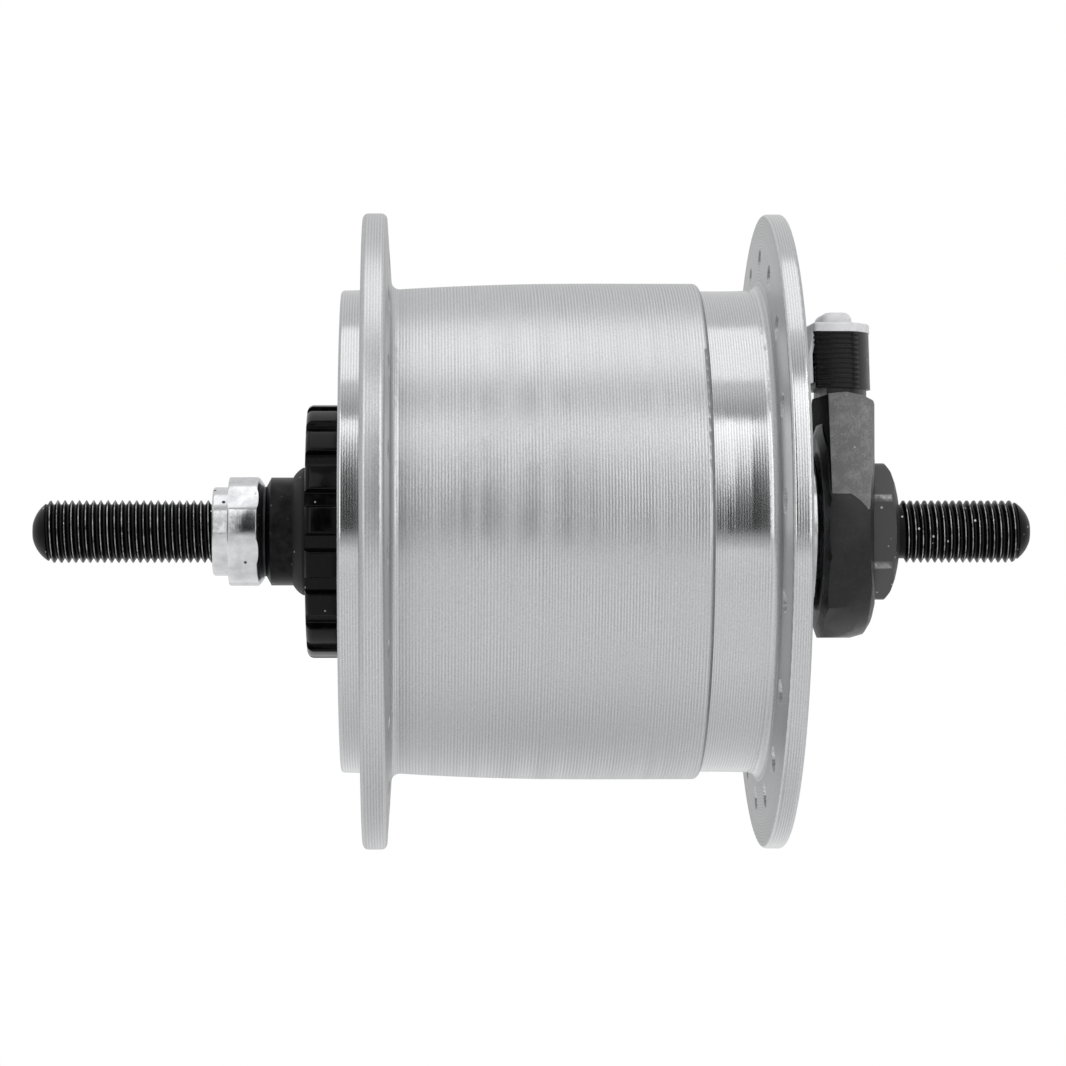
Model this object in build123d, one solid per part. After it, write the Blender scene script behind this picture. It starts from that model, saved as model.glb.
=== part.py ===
from build123d import *
from math import cos, radians, sin, sqrt
import os

# Bicycle front hub with a built-in generator. Millimetres.
# The axle lies along Y. +Y is the bicycle's left side, where a roller brake slides on,
# +X is the way the bicycle travels and +Z is up. The origin is the middle of the axle.
# Every profile of a turned piece is drawn as (radius, y).
# Sizes ending in _w run along the axle, _r are radii, _t are thicknesses.

# Axle
axle_length = 140.0
thread_pitch = 1.0
thread_crest_r = 4.4
thread_mean_drop = 0.225
thread_groove_w = 0.48
thread_groove_depth = 0.42
tip_dome_extra = 0.5
left_tip_flat_r = 1.2
right_tip_flat_r = 1.65
journal_step = 0.6
journal_overhang = 0.8
collar_step = 2.0
collar_w = 3.5
thread_clearance = 0.02

# Bearings: cup and cone with balls in a cage
ball_r = 2.381
balls = 9
ball_circle_extra = 5.0
race_clearance = 0.06
cup_wall = 1.019
cup_inner_w = 3.0
cup_outer_w = 2.3
cup_web_w = 2.2
cup_rim_gap = 1.9
cup_hole_gap = 1.1
cone_tip_drop = 2.1
cone_tip_w = 2.6
cone_shoulder_drop = 0.7
cone_shoulder_w = 2.9
cone_slope_w = 0.8
cage_inner_drop = 0.4
cage_outer_rise = 0.5
cage_inner_w = 1.0
cage_outer_w = 3.0
cage_pocket_clearance = 0.05

# Hub shell: barrel with the left flange
left_flange_face_y = 23.85
left_flange_w = 3.35
left_web_taper = 0.7
left_root_fillet = 1.1
left_rim_edge_r = 0.8
flange_height = 10.55
barrel_root_r = 33.95
barrel_crown = 0.85
barrel_straight_w = 14.9
barrel_end_edge_r = 0.8
shell_seat_wall = 2.25
shell_bore_step = 0.5
seat_relief_w = 0.3

# Right flange cap: neck, right flange and bearing boss
right_flange_face_y = -34.75
right_flange_w = 2.75
right_web_taper = 0.55
right_rim_edge_r = 0.6
neck_step = 0.2
neck_w = 8.55
neck_fillet = 1.6
neck_ease_w = 2.2
neck_ease = 0.03
neck_flare_w = 3.6
neck_flare = 0.14
cap_recess_wall = 3.25
cap_recess_depth = 1.55
cap_web_w = 3.2
cap_boss_wall = 2.2
cap_boss_stand = 0.85
cap_ledge_w = 1.0
cap_spigot_w = 5.0
spigot_wall = 2.1

# Spoke holes, the same ring in both flanges, staggered by half a pitch
spoke_holes = 18
spoke_circle_share = 0.384
spoke_hole_r = 1.35
spoke_countersink = 0.4
right_hole_phase = 4.0

# Left end cover
cover_lip = 2.15
cover_rim_w = 3.0
cover_edge_r = 0.5
cover_taper = 0.1
cover_boss_wall = 2.2
cover_shoulder_step = 1.2
cover_shoulder_w = 0.35
cover_spigot_w = 4.0
cover_ledge_w = 1.3
hub_hole_gap = 0.2

# Brake spline plate: eighteen lobes for the roller brake
plate_w = 4.4
plate_ring_wall = 2.75
plate_edge_r = 0.9
plate_lobes = 18
plate_lobe_angle = 11.7
plate_lobe_flank_angle = 0.9
plate_lobe_first_angle = 5.0
plate_valley_depth = 1.0
plate_lip_w = 0.6
plate_lip_gap = 1.675
grease_ring_w = 1.1
grease_ring_wall = 2.5

# Left cone with its rubber skirt, lock washer and locknut
running_gap = 0.3
left_cone_wall = 3.175
left_cone_chamfer = 1.35
left_cone_chamfer_w = 0.73
left_cone_stand = 3.8
left_seal_w = 1.7
left_seal_rim_w = 0.35
left_seal_flare = 1.375
left_washer_w = 0.25
left_washer_wall = 1.9
left_nut_collar_wall = 1.8
left_nut_collar_w = 2.25
left_nut_hex_w = 4.9
left_nut_flats = 14.84
left_nut_corner_trim = 0.918
left_nut_turn = -8.0
nut_edge = 0.45
left_nut_inner_drop = 0.75
left_nut_inner_chamfer_w = 0.75

# Right cone, dust cap, washer and locknut
right_cone_step = 0.325
right_cone_chamfer = 0.4
dust_cap_ledge = 1.5
dust_cap_wall = 0.9
dust_cap_flange_w = 0.9
dust_cap_hole_gap = 0.35
dust_cap_stand = 3.7
right_nut_w = 4.2
right_nut_flats = 17.0
right_nut_corner_trim = 0.195
right_nut_turn = 30.0
right_nut_chamfer_w = 1.7
right_nut_dome_w = 0.58
right_nut_dome_drop = 1.0
right_nut_rim_wall = 0.8
right_washer_edge = 0.42
right_washer_w = 0.8

# Terminal housing: a twelve-sided base round the axle and an arm that carries the plug
housing_chamfer_w = 0.8
base_side_w = 5.9
base_shoulder_w = 0.75
base_face_w = 0.75
nut_recess_gap = 0.38
nut_recess_depth = 1.6
base_face_lip = 0.4
base_shoulder_rise = 2.9
base_taper_rise = 1.4
base_corner_rise = 0.8
base_inner_drop = 2.2
base_sides = 12
base_turn = 13.0
housing_bulge = 2.46
housing_bulge_margin = 0.5
arm_foot_inset = 1.1
arm_foot_z = 2.0
arm_waist_z = 6.2
arm_top_half_w = 10.0
arm_reach = 3.9
arm_top_inner_drop = 0.3
arm_top_outer_drop = 1.5
arm_crown_w = 2.6
cone_recess_w = 1.0
seat_clearance = 0.1

# Plug: flat inner side, outer side bulging away from the hub
plug_overhang = 0.7
plug_w = 5.3
plug_bulge = 3.2
plug_length = 17.0
plug_stand = 0.5
plug_height = 7.9
plug_corner_r = 0.5
rib_count = 11
rib_depth = 0.22
rib_groove_share = 0.45
rib_reach = 1.0
neck_inset = 0.45
tongue_margin = 0.5
tongue_w = 3.4
tongue_height = 2.5
tongue_gap = 0.2

# Light cover over the plug: top plate, domed grip and a springy leaf on the inner side
lid_t = 1.25
lid_overhang = 0.1
lid_edge_r = 0.35
grip_length = 10.0
grip_w = 4.4
grip_shift = 0.85
grip_height = 1.65
leaf_inset = 0.7
leaf_t = 0.5
leaf_flare = 0.85
leaf_flare_height = 4.7
leaf_tail_height = 0.7

# Contacts and leads
contact_spacing = 5.2
contact_blade_l = 2.4
contact_blade_t = 0.8
contact_foot_t = 1.2
contact_foot_inner = 0.3
contact_floor = 4.2
contact_height = 5.3
contact_foot_height = 1.0
contact_clearance = 0.05
socket_clearance = 0.25
lead_r = 0.5
lead_gap = 0.24
lead_bend_r = 1.2
lead_groove_margin = 0.23
lead_groove_cover = 0.55
lead_groove_tail = 2.05
lead_channel_margin = 0.05
lead_hole_margin = 0.78
lead_hole_rise = 3.3

# Rotor: steel ring and four magnets bonded inside it
rotor_ring_wall = 2.2
rotor_ring_length = 29.0
magnet_t = 2.4
magnet_length = 26.0
magnet_count = 4
magnet_gap_angle = 2.0
air_gap = 0.4

# Stator: two claw pole yokes on a steel core, with the coil between them
stator_inset = 10.3
stator_length = 27.0
yoke_t = 1.6
claw_count = 14
claw_angle = 10.0
claw_short = 1.0
core_wall = 3.0
bobbin_wall = 1.0
bobbin_gap = 0.3
coil_margin = 0.9
stator_washer_w = 0.8
stator_washer_rise = 1.5
stator_nut_w = 4.4
stator_nut_wall = 2.5

# How far a cutting tool runs past what it cuts
overrun = 1.0

# Radii that follow from the sizes above
bore_r = thread_crest_r - thread_mean_drop + thread_clearance
thread_mean_r = thread_crest_r - thread_mean_drop
tip_dome_r = thread_crest_r + tip_dome_extra
journal_r = thread_crest_r + journal_step
collar_r = journal_r + collar_step
ball_circle_r = thread_crest_r + ball_circle_extra
race_r = ball_r + race_clearance
cup_r = ball_circle_r + ball_r + cup_wall
cone_tip_r = ball_circle_r - cone_tip_drop
cup_hole_r = cone_tip_r + cup_hole_gap
hub_hole_r = cup_hole_r + hub_hole_gap
left_cone_r = thread_crest_r + left_cone_wall
right_cone_r = left_cone_r + right_cone_step
left_nut_corner_r = left_nut_flats / sqrt(3) - left_nut_corner_trim
right_nut_corner_r = right_nut_flats / sqrt(3) - right_nut_corner_trim
left_nut_collar_r = thread_crest_r + left_nut_collar_wall
cover_boss_r = cup_r + cover_boss_wall
cap_boss_r = cup_r + cap_boss_wall
plate_r = cover_boss_r + plate_ring_wall
plate_lip_hole_r = left_cone_r + plate_lip_gap
dust_cap_r = cup_r - dust_cap_ledge
flange_r = barrel_root_r + flange_height
spoke_circle_r = barrel_root_r + flange_height * spoke_circle_share
barrel_crown_r = barrel_root_r + barrel_crown
shell_seat_r = barrel_root_r - shell_seat_wall
shell_bore_r = shell_seat_r - shell_bore_step
cover_r = shell_seat_r + cover_lip
neck_r = barrel_root_r - neck_step
magnet_outer_r = shell_bore_r - rotor_ring_wall
stator_r = magnet_outer_r - magnet_t - air_gap
core_r = journal_r + core_wall
nut_recess_r = right_nut_corner_r + nut_recess_gap
base_face_r = nut_recess_r + base_face_lip
base_shoulder_r = base_face_r + base_shoulder_rise
base_taper_r = base_shoulder_r + base_taper_rise
base_corner_r = base_taper_r + base_corner_rise

# Places along the axle, from the left flange outwards
half_axle = axle_length / 2
left_rim_y = left_flange_face_y - left_flange_w
left_root_y = left_rim_y - left_web_taper
cover_spigot_end_y = left_flange_face_y - cover_spigot_w
cover_face_y = left_flange_face_y + cover_rim_w
plate_inner_y = cover_face_y + cover_shoulder_w
plate_face_y = plate_inner_y + plate_w
boss_end_y = plate_face_y - plate_lip_w
left_ball_y = boss_end_y - grease_ring_w - cup_outer_w
cover_inner_y = left_ball_y - cup_inner_w - cover_ledge_w
left_seal_inner_y = plate_face_y + running_gap
left_seal_outer_y = left_seal_inner_y + left_seal_w
left_cone_y = left_seal_outer_y + left_cone_stand
left_nut_inner_y = left_cone_y + left_washer_w
left_nut_collar_y = left_nut_inner_y + left_nut_hex_w
left_nut_face_y = left_nut_collar_y + left_nut_collar_w

# Places inside the hub
stator_left_y = cover_inner_y - stator_inset
stator_right_y = stator_left_y - stator_length
rotor_mid_y = (stator_left_y + stator_right_y) / 2
stator_nut_inner_y = stator_left_y + stator_washer_w
stator_nut_outer_y = stator_nut_inner_y + stator_nut_w
journal_left_y = stator_nut_outer_y + journal_overhang
collar_end_y = stator_right_y - collar_w

# Places along the axle, from the right flange outwards
right_rim_y = right_flange_face_y + right_flange_w
neck_end_y = right_rim_y + right_web_taper
barrel_end_y = neck_end_y + neck_w
barrel_crown_y = barrel_end_y + barrel_straight_w
cap_spigot_end_y = barrel_end_y + cap_spigot_w
cap_inner_face_y = right_flange_face_y + cap_recess_depth + cap_web_w
cap_boss_face_y = right_flange_face_y - cap_boss_stand
right_ball_y = cap_boss_face_y + dust_cap_flange_w + cup_outer_w
dust_cap_end_y = cap_boss_face_y - dust_cap_stand
housing_inner_y = dust_cap_end_y - running_gap
housing_edge_y = housing_inner_y - housing_chamfer_w
base_taper_y = housing_edge_y - base_side_w
base_shoulder_y = base_taper_y - base_shoulder_w
housing_outer_y = base_shoulder_y - base_face_w
right_cone_y = housing_inner_y - cone_recess_w
right_seat_y = housing_outer_y + nut_recess_depth
right_nut_inner_y = right_seat_y - right_washer_w
right_nut_face_y = right_nut_inner_y - right_nut_w
plug_inner_y = housing_inner_y + plug_overhang
plug_corner_y = plug_inner_y - plug_w
plug_y = plug_inner_y - (plug_w + plug_bulge) / 2

# Heights of the arm, the plug and its cover
arm_top_z = base_corner_r + arm_reach
arm_top_outer_z = arm_top_z - arm_top_outer_drop
plug_bottom_z = arm_top_z + plug_stand
plug_top_z = plug_bottom_z + plug_height
contact_bottom_z = thread_crest_r + contact_floor
contact_top_z = plug_bottom_z + contact_height
tongue_length = contact_spacing + contact_blade_l + 2 * tongue_margin
lead_spacing = 2 * lead_r + lead_gap
lead_groove_w = lead_spacing + 2 * lead_r + 2 * lead_groove_margin
lead_groove_floor_z = thread_mean_r - 2 * lead_r - lead_groove_cover
lead_hole_z = core_r + lead_hole_rise
left_hole_phase = right_hole_phase + 180 / spoke_holes


def profile(*corners):
    """A closed face from corners (radius, y) or (radius, y, rounding)."""
    points = [(corner[0], corner[1]) for corner in corners]
    roundings = [corner[2] if len(corner) > 2 else 0 for corner in corners]
    if any(roundings):
        return make_face(FilletPolyline(*points, radius=roundings, close=True))
    return make_face(Polyline(*points, close=True))


def turned(*corners):
    """A solid of revolution about the axle."""
    return revolve(profile(*corners), Axis.Y)


def prism(face, left_y, right_y):
    """A face drawn as (x, z), run along the axle from left_y to right_y."""
    return extrude(Plane.XZ.offset(-left_y) * face, amount=left_y - right_y)


def hexagon(flats, turn):
    """A hexagon across flats, turned in degrees."""
    return RegularPolygon(flats / 2, 6, major_radius=False, rotation=turn)


def around(angle, radius):
    """x and z of a point at an angle from straight up towards the front of the picture."""
    return -radius * sin(radians(angle)), radius * cos(radians(angle))


def race():
    """The ring that the balls sweep, with their running clearance."""
    return Rot(90, 0, 0) * Torus(ball_circle_r, race_r)


def dome_length(flat_r):
    """How far a tip's dome runs from its flat to the thread's crest."""
    full = tip_dome_r - sqrt(tip_dome_r**2 - thread_crest_r**2)
    lost = tip_dome_r - sqrt(tip_dome_r**2 - flat_r**2)
    return full - lost


def thread_points(from_y, to_y):
    """Ring grooves at the thread's pitch, from one height along the axle to another."""
    way = 1 if to_y > from_y else -1
    turns = int(abs(to_y - from_y) / thread_pitch)
    points = []
    for turn in range(turns):
        middle = from_y + way * (turn + 1 / 2) * thread_pitch
        points.append((thread_crest_r, middle - way * thread_groove_w / 2))
        points.append((thread_crest_r - thread_groove_depth, middle))
        points.append((thread_crest_r, middle + way * thread_groove_w / 2))
    return points


def axle():
    left_dome_y = half_axle - dome_length(left_tip_flat_r)
    right_dome_y = -half_axle + dome_length(right_tip_flat_r)
    body = Polyline(
        (thread_crest_r, left_dome_y),
        *reversed(thread_points(left_nut_face_y, left_dome_y)),
        (thread_crest_r, left_nut_face_y),
        (thread_mean_r, left_nut_face_y),
        (thread_mean_r, journal_left_y),
        (journal_r, journal_left_y),
        (journal_r, stator_right_y),
        (collar_r, stator_right_y),
        (collar_r, collar_end_y),
        (thread_mean_r, collar_end_y),
        (thread_mean_r, right_nut_face_y),
        (thread_crest_r, right_nut_face_y),
        *thread_points(right_nut_face_y, right_dome_y),
        (thread_crest_r, right_dome_y),
    )
    left_tip = RadiusArc(
        (left_tip_flat_r, half_axle), (thread_crest_r, left_dome_y), tip_dome_r
    )
    right_tip = RadiusArc(
        (thread_crest_r, right_dome_y), (right_tip_flat_r, -half_axle), tip_dome_r
    )
    ends = Polyline(
        (left_tip_flat_r, half_axle), (0, half_axle), (0, -half_axle), (right_tip_flat_r, -half_axle)
    )
    rod = revolve(make_face(left_tip + body + right_tip + ends), Axis.Y)
    groove_length = stator_right_y - plug_y + lead_groove_tail
    groove = Pos(0, stator_right_y - groove_length / 2, 0) * Box(
        lead_groove_w, groove_length, 2 * collar_r, align=(Align.CENTER, Align.CENTER, Align.MIN)
    )
    return rod - Pos(0, 0, lead_groove_floor_z) * groove


def left_locknut():
    blank = turned(
        (thread_crest_r, left_nut_face_y),
        (left_nut_collar_r, left_nut_face_y, nut_edge),
        (left_nut_collar_r, left_nut_collar_y),
        (left_nut_corner_r - nut_edge, left_nut_collar_y),
        (left_nut_corner_r, left_nut_collar_y - nut_edge),
        (left_nut_corner_r, left_nut_inner_y + left_nut_inner_chamfer_w),
        (left_nut_flats / 2 - left_nut_inner_drop, left_nut_inner_y),
        (bore_r, left_nut_inner_y),
        (bore_r, left_nut_face_y - nut_edge),
    )
    sides = prism(hexagon(left_nut_flats, left_nut_turn), left_nut_collar_y, left_nut_inner_y)
    collar = prism(Circle(left_nut_collar_r), left_nut_face_y, left_nut_collar_y)
    return blank & (sides + collar)


def left_lock_washer():
    washer_r = thread_crest_r + left_washer_wall
    return turned(
        (bore_r, left_cone_y),
        (washer_r, left_cone_y),
        (washer_r, left_nut_inner_y),
        (bore_r, left_nut_inner_y),
    )


def cone(ball_y, side, neck_r, end_y, end_r, chamfer_w):
    """A bearing cone on the axle. side is 1 on the left and -1 on the right."""
    shoulder_r = ball_circle_r - cone_shoulder_drop
    blank = turned(
        (bore_r, ball_y - side * cone_tip_w),
        (cone_tip_r, ball_y - side * cone_tip_w),
        (cone_tip_r, ball_y - side * cone_slope_w),
        (shoulder_r, ball_y + side * cone_slope_w),
        (shoulder_r, ball_y + side * cone_shoulder_w),
        (neck_r, ball_y + side * (cone_shoulder_w + shoulder_r - neck_r)),
        (neck_r, end_y - side * chamfer_w),
        (end_r, end_y),
        (bore_r, end_y),
    )
    return blank - Pos(0, ball_y, 0) * race()


def left_cone():
    end_r = left_cone_r - left_cone_chamfer
    return cone(left_ball_y, 1, left_cone_r, left_cone_y, end_r, left_cone_chamfer_w)


def right_cone():
    end_r = right_cone_r - right_cone_chamfer
    return cone(right_ball_y, -1, right_cone_r, right_cone_y, end_r, right_cone_chamfer)


def left_cone_seal():
    """A rubber skirt on the left cone that flares out to the spline plate."""
    inner_r = left_cone_r + thread_clearance
    rim_r = left_cone_r + left_seal_flare
    rim_y = left_seal_inner_y + left_seal_rim_w
    lip_r = inner_r + thread_clearance
    straight = Polyline(
        (rim_r, rim_y),
        (rim_r, left_seal_inner_y),
        (inner_r, left_seal_inner_y),
        (inner_r, left_seal_outer_y),
        (lip_r, left_seal_outer_y),
    )
    flare = RadiusArc((lip_r, left_seal_outer_y), (rim_r, rim_y), 2 * left_seal_w)
    return revolve(make_face(straight + flare), Axis.Y)


def cup(ball_y, side):
    """A bearing cup, pressed into the hub."""
    rim_bore_r = ball_circle_r + cup_rim_gap
    blank = turned(
        (cup_hole_r, ball_y - side * cup_inner_w),
        (cup_r, ball_y - side * cup_inner_w),
        (cup_r, ball_y + side * cup_outer_w),
        (rim_bore_r, ball_y + side * cup_outer_w),
        (rim_bore_r, ball_y - side * (cup_inner_w - cup_web_w)),
        (cup_hole_r, ball_y - side * (cup_inner_w - cup_web_w)),
    )
    return blank - Pos(0, ball_y, 0) * race()


def ball_places(ball_y):
    places = []
    for index in range(balls):
        x, z = around(index * 360 / balls, ball_circle_r)
        places.append(Pos(x, ball_y, z))
    return places


def ball_set(ball_y):
    return [place * Sphere(ball_r) for place in ball_places(ball_y)]


def cage(ball_y, side):
    """The ring that keeps the balls apart."""
    inner_r = ball_circle_r - cage_inner_drop
    outer_r = ball_circle_r + cage_outer_rise
    ring = turned(
        (inner_r, ball_y - side * cage_inner_w),
        (outer_r, ball_y - side * cage_inner_w),
        (outer_r, ball_y + side * cage_outer_w),
        (inner_r, ball_y + side * cage_outer_w),
    )
    return ring - [place * Sphere(ball_r + cage_pocket_clearance) for place in ball_places(ball_y)]


def brake_spline_plate():
    """The lobed plate that the roller brake slides over."""
    pitch = 360 / plate_lobes
    edges = []
    for lobe in range(plate_lobes):
        middle = plate_lobe_first_angle + lobe * pitch
        half = plate_lobe_angle / 2
        tip = [
            around(90 - middle + turn, plate_r) for turn in (-half, 0, half)
        ]
        floor_turn = half + plate_lobe_flank_angle
        valley_r = plate_r - plate_valley_depth
        floor_start = around(90 - middle + floor_turn, valley_r)
        floor_end = around(90 - middle + pitch - floor_turn, valley_r)
        next_tip = around(90 - middle + pitch - half, plate_r)
        edges.append(ThreePointArc(*tip))
        edges.append(Polyline(tip[2], floor_start, floor_end, next_tip))
    lobed = prism(make_face(edges), plate_face_y, plate_inner_y)
    seat_r = cover_boss_r + thread_clearance
    blank = turned(
        (seat_r, plate_inner_y),
        (plate_r, plate_inner_y),
        (plate_r, plate_face_y, plate_edge_r),
        (plate_lip_hole_r, plate_face_y),
        (plate_lip_hole_r, boss_end_y),
        (seat_r, boss_end_y),
    )
    return blank & lobed


def left_end_cover():
    cup_seat_y = left_ball_y - cup_inner_w
    shoulder_r = cover_boss_r + cover_shoulder_step
    return turned(
        (cover_r, left_flange_face_y),
        (cover_r - cover_taper, cover_face_y, cover_edge_r),
        (shoulder_r, cover_face_y),
        (shoulder_r, plate_inner_y),
        (cover_boss_r, plate_inner_y),
        (cover_boss_r, boss_end_y),
        (cup_r, boss_end_y),
        (cup_r, cup_seat_y),
        (hub_hole_r, cup_seat_y),
        (hub_hole_r, cover_inner_y),
        (shell_seat_r - spigot_wall, cover_inner_y),
        (shell_seat_r - spigot_wall, cover_spigot_end_y),
        (shell_seat_r, cover_spigot_end_y),
        (shell_seat_r, left_flange_face_y),
    )


def left_grease_ring():
    """A rubber ring between the left cup and the spline plate's lip."""
    cup_end_y = left_ball_y + cup_outer_w
    bore = cup_r - grease_ring_wall
    return turned(
        (bore, cup_end_y),
        (cup_r, cup_end_y),
        (cup_r, boss_end_y),
        (bore, boss_end_y),
    )


def spoke_hole_ring(outer_y, inner_y, phase):
    """Countersunk holes through a flange whose faces are at outer_y and inner_y."""
    way = 1 if outer_y > inner_y else -1
    wide_r = spoke_hole_r + spoke_countersink + overrun
    hole = turned(
        (0, outer_y + way * overrun),
        (wide_r, outer_y + way * overrun),
        (spoke_hole_r, outer_y - way * spoke_countersink),
        (spoke_hole_r, inner_y + way * spoke_countersink),
        (wide_r, inner_y - way * overrun),
        (0, inner_y - way * overrun),
    )
    holes = []
    for index in range(spoke_holes):
        x, z = around(phase + index * 360 / spoke_holes, spoke_circle_r)
        holes.append(Pos(x, 0, z) * hole)
    return holes


def web_face(rim_y, root_y, root_r):
    """Where a flange's sloping inner face stands at the spoke circle."""
    share = (flange_r - spoke_circle_r) / (flange_r - root_r)
    return rim_y + (root_y - rim_y) * share


def hub_shell():
    barrel_root_y = left_root_y - left_root_fillet
    crown_mid_y = (barrel_root_y + barrel_crown_y) / 2
    crown_mid_r = barrel_crown_r - (barrel_crown_r - barrel_root_r) / 4
    crown = ThreePointArc(
        (barrel_crown_r, barrel_crown_y), (crown_mid_r, crown_mid_y), (barrel_root_r, barrel_root_y)
    )
    corners = [
        (barrel_root_r, barrel_root_y, 0),
        (barrel_root_r, left_root_y, left_root_fillet),
        (flange_r, left_rim_y, left_rim_edge_r),
        (flange_r, left_flange_face_y, left_rim_edge_r),
        (shell_seat_r, left_flange_face_y, 0),
        (shell_seat_r, cover_spigot_end_y - seat_relief_w, 0),
        (shell_bore_r, cover_spigot_end_y - seat_relief_w, 0),
        (shell_bore_r, cap_spigot_end_y + seat_relief_w, 0),
        (shell_seat_r, cap_spigot_end_y + seat_relief_w, 0),
        (shell_seat_r, barrel_end_y, 0),
        (barrel_crown_r, barrel_end_y, barrel_end_edge_r),
        (barrel_crown_r, barrel_crown_y, 0),
    ]
    points = [corner[:2] for corner in corners]
    roundings = [corner[2] for corner in corners[1:-1]]
    rest = FilletPolyline(*points, radius=roundings)
    shell = revolve(make_face(crown + rest), Axis.Y)
    inner_y = web_face(left_rim_y, left_root_y, barrel_root_r)
    return shell - spoke_hole_ring(left_flange_face_y, inner_y, left_hole_phase)


def right_flange_cap():
    cup_seat_y = right_ball_y + cup_inner_w
    recess_r = neck_r - cap_recess_wall
    recess_y = right_flange_face_y + cap_recess_depth
    boss_root_r = cap_boss_r + cap_recess_depth
    spigot_bore_r = shell_seat_r - spigot_wall
    flare_y = neck_end_y + neck_flare_w
    cap = turned(
        (neck_r, barrel_end_y),
        (neck_r, flare_y + neck_ease_w),
        (neck_r + neck_ease, flare_y),
        (neck_r + neck_ease + neck_flare, neck_end_y, neck_fillet),
        (flange_r, right_rim_y, right_rim_edge_r),
        (flange_r, right_flange_face_y, right_rim_edge_r),
        (recess_r, right_flange_face_y),
        (recess_r - cap_recess_depth, recess_y),
        (boss_root_r, recess_y),
        (cap_boss_r, cap_boss_face_y),
        (cup_r, cap_boss_face_y),
        (cup_r, cup_seat_y),
        (hub_hole_r, cup_seat_y),
        (hub_hole_r, cup_seat_y + cap_ledge_w),
        (cap_boss_r, cup_seat_y + cap_ledge_w),
        (boss_root_r, cap_inner_face_y),
        (spigot_bore_r, cap_inner_face_y),
        (spigot_bore_r, cap_spigot_end_y),
        (shell_seat_r, cap_spigot_end_y),
        (shell_seat_r, barrel_end_y),
    )
    inner_y = web_face(right_rim_y, neck_end_y, neck_r)
    return cap - spoke_hole_ring(right_flange_face_y, inner_y, right_hole_phase)


def right_dust_cap():
    """A pressed steel cap over the right bearing."""
    cup_end_y = right_ball_y - cup_outer_w
    end_y = dust_cap_end_y
    bore = dust_cap_r - dust_cap_wall
    hole_r = right_cone_r + dust_cap_hole_gap
    return turned(
        (bore, cup_end_y),
        (cup_r, cup_end_y),
        (cup_r, cup_end_y - dust_cap_flange_w),
        (dust_cap_r, cup_end_y - dust_cap_flange_w),
        (dust_cap_r, end_y, dust_cap_wall / 2),
        (hole_r, end_y),
        (hole_r, end_y + dust_cap_wall),
        (bore, end_y + dust_cap_wall),
    )


def right_lock_washer():
    washer_r = right_nut_corner_r - right_washer_edge
    return turned(
        (bore_r, right_seat_y),
        (washer_r, right_seat_y),
        (washer_r, right_nut_inner_y),
        (bore_r, right_nut_inner_y),
    )


def right_locknut():
    blank = turned(
        (bore_r, right_nut_inner_y),
        (right_nut_corner_r, right_nut_inner_y),
        (right_nut_corner_r, right_nut_face_y + right_nut_chamfer_w),
        (right_nut_flats / 2 - right_nut_dome_drop, right_nut_face_y + right_nut_dome_w),
        (thread_crest_r + right_nut_rim_wall, right_nut_face_y),
        (thread_crest_r, right_nut_face_y),
        (bore_r, right_nut_face_y + nut_edge),
    )
    return blank & prism(hexagon(right_nut_flats, right_nut_turn), right_nut_inner_y, right_nut_face_y)


def arm():
    """The arm's front view, cut to its side view."""
    foot_half_w = base_corner_r - arm_foot_inset
    inner_z = arm_top_z - arm_top_inner_drop
    crown_y = housing_edge_y - arm_crown_w
    front = Polyline(
        (-foot_half_w, arm_foot_z),
        (-foot_half_w, arm_waist_z),
        (-arm_top_half_w, arm_top_z),
        (arm_top_half_w, arm_top_z),
        (foot_half_w, arm_waist_z),
        (foot_half_w, arm_foot_z),
        (0, 0),
        close=True,
    )
    slab = prism(make_face(front), housing_edge_y, housing_outer_y)
    top = ThreePointArc(
        (housing_edge_y, inner_z), (crown_y, arm_top_z), (housing_outer_y, arm_top_outer_z)
    )
    sides = Polyline(
        (housing_outer_y, arm_top_outer_z), (housing_outer_y, 0), (housing_edge_y, 0),
        (housing_edge_y, inner_z),
    )
    across = extrude(Plane.YZ * make_face(top + sides), amount=foot_half_w, both=True)
    return slab & across


def housing_plan():
    """The housing seen from above, whose outer face bulges away from the hub."""
    edge_y = housing_outer_y + housing_bulge
    half_w = base_corner_r + housing_bulge_margin
    bulge = ThreePointArc((-half_w, edge_y), (0, housing_outer_y), (half_w, edge_y))
    rest = Polyline(
        (half_w, edge_y), (half_w, housing_inner_y), (-half_w, housing_inner_y), (-half_w, edge_y)
    )
    return extrude(make_face(bulge + rest), amount=plug_top_z, both=True)


def contact(side, clearance=0):
    """One contact: an upright blade on a foot. side is 1 or -1."""
    blade = Box(
        contact_blade_l + 2 * clearance,
        contact_blade_t + 2 * clearance,
        contact_top_z - contact_bottom_z + clearance,
        align=(Align.CENTER, Align.CENTER, Align.MIN),
    )
    outer = (contact_spacing + contact_blade_l) / 2
    foot = Box(
        outer - contact_foot_inner + 2 * clearance,
        contact_foot_t + 2 * clearance,
        contact_foot_height + clearance,
        align=(Align.CENTER, Align.CENTER, Align.MIN),
    )
    foot_x = side * (outer + contact_foot_inner) / 2
    return Pos(0, plug_y, contact_bottom_z) * (
        Pos(side * contact_spacing / 2, 0, 0) * blade + Pos(foot_x, 0, 0) * foot
    )


def terminal_contacts():
    return [contact(side) for side in (-1, 1)]


def tongue(growth=0):
    """The tongue on top of the arm that the plug grips, or its pocket in the plug."""
    floor_z = arm_top_outer_z - overrun
    return Pos(0, plug_y, floor_z) * Box(
        tongue_length + 2 * growth,
        tongue_w + 2 * growth,
        plug_bottom_z + tongue_height - floor_z + growth,
        align=(Align.CENTER, Align.CENTER, Align.MIN),
    )


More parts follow.
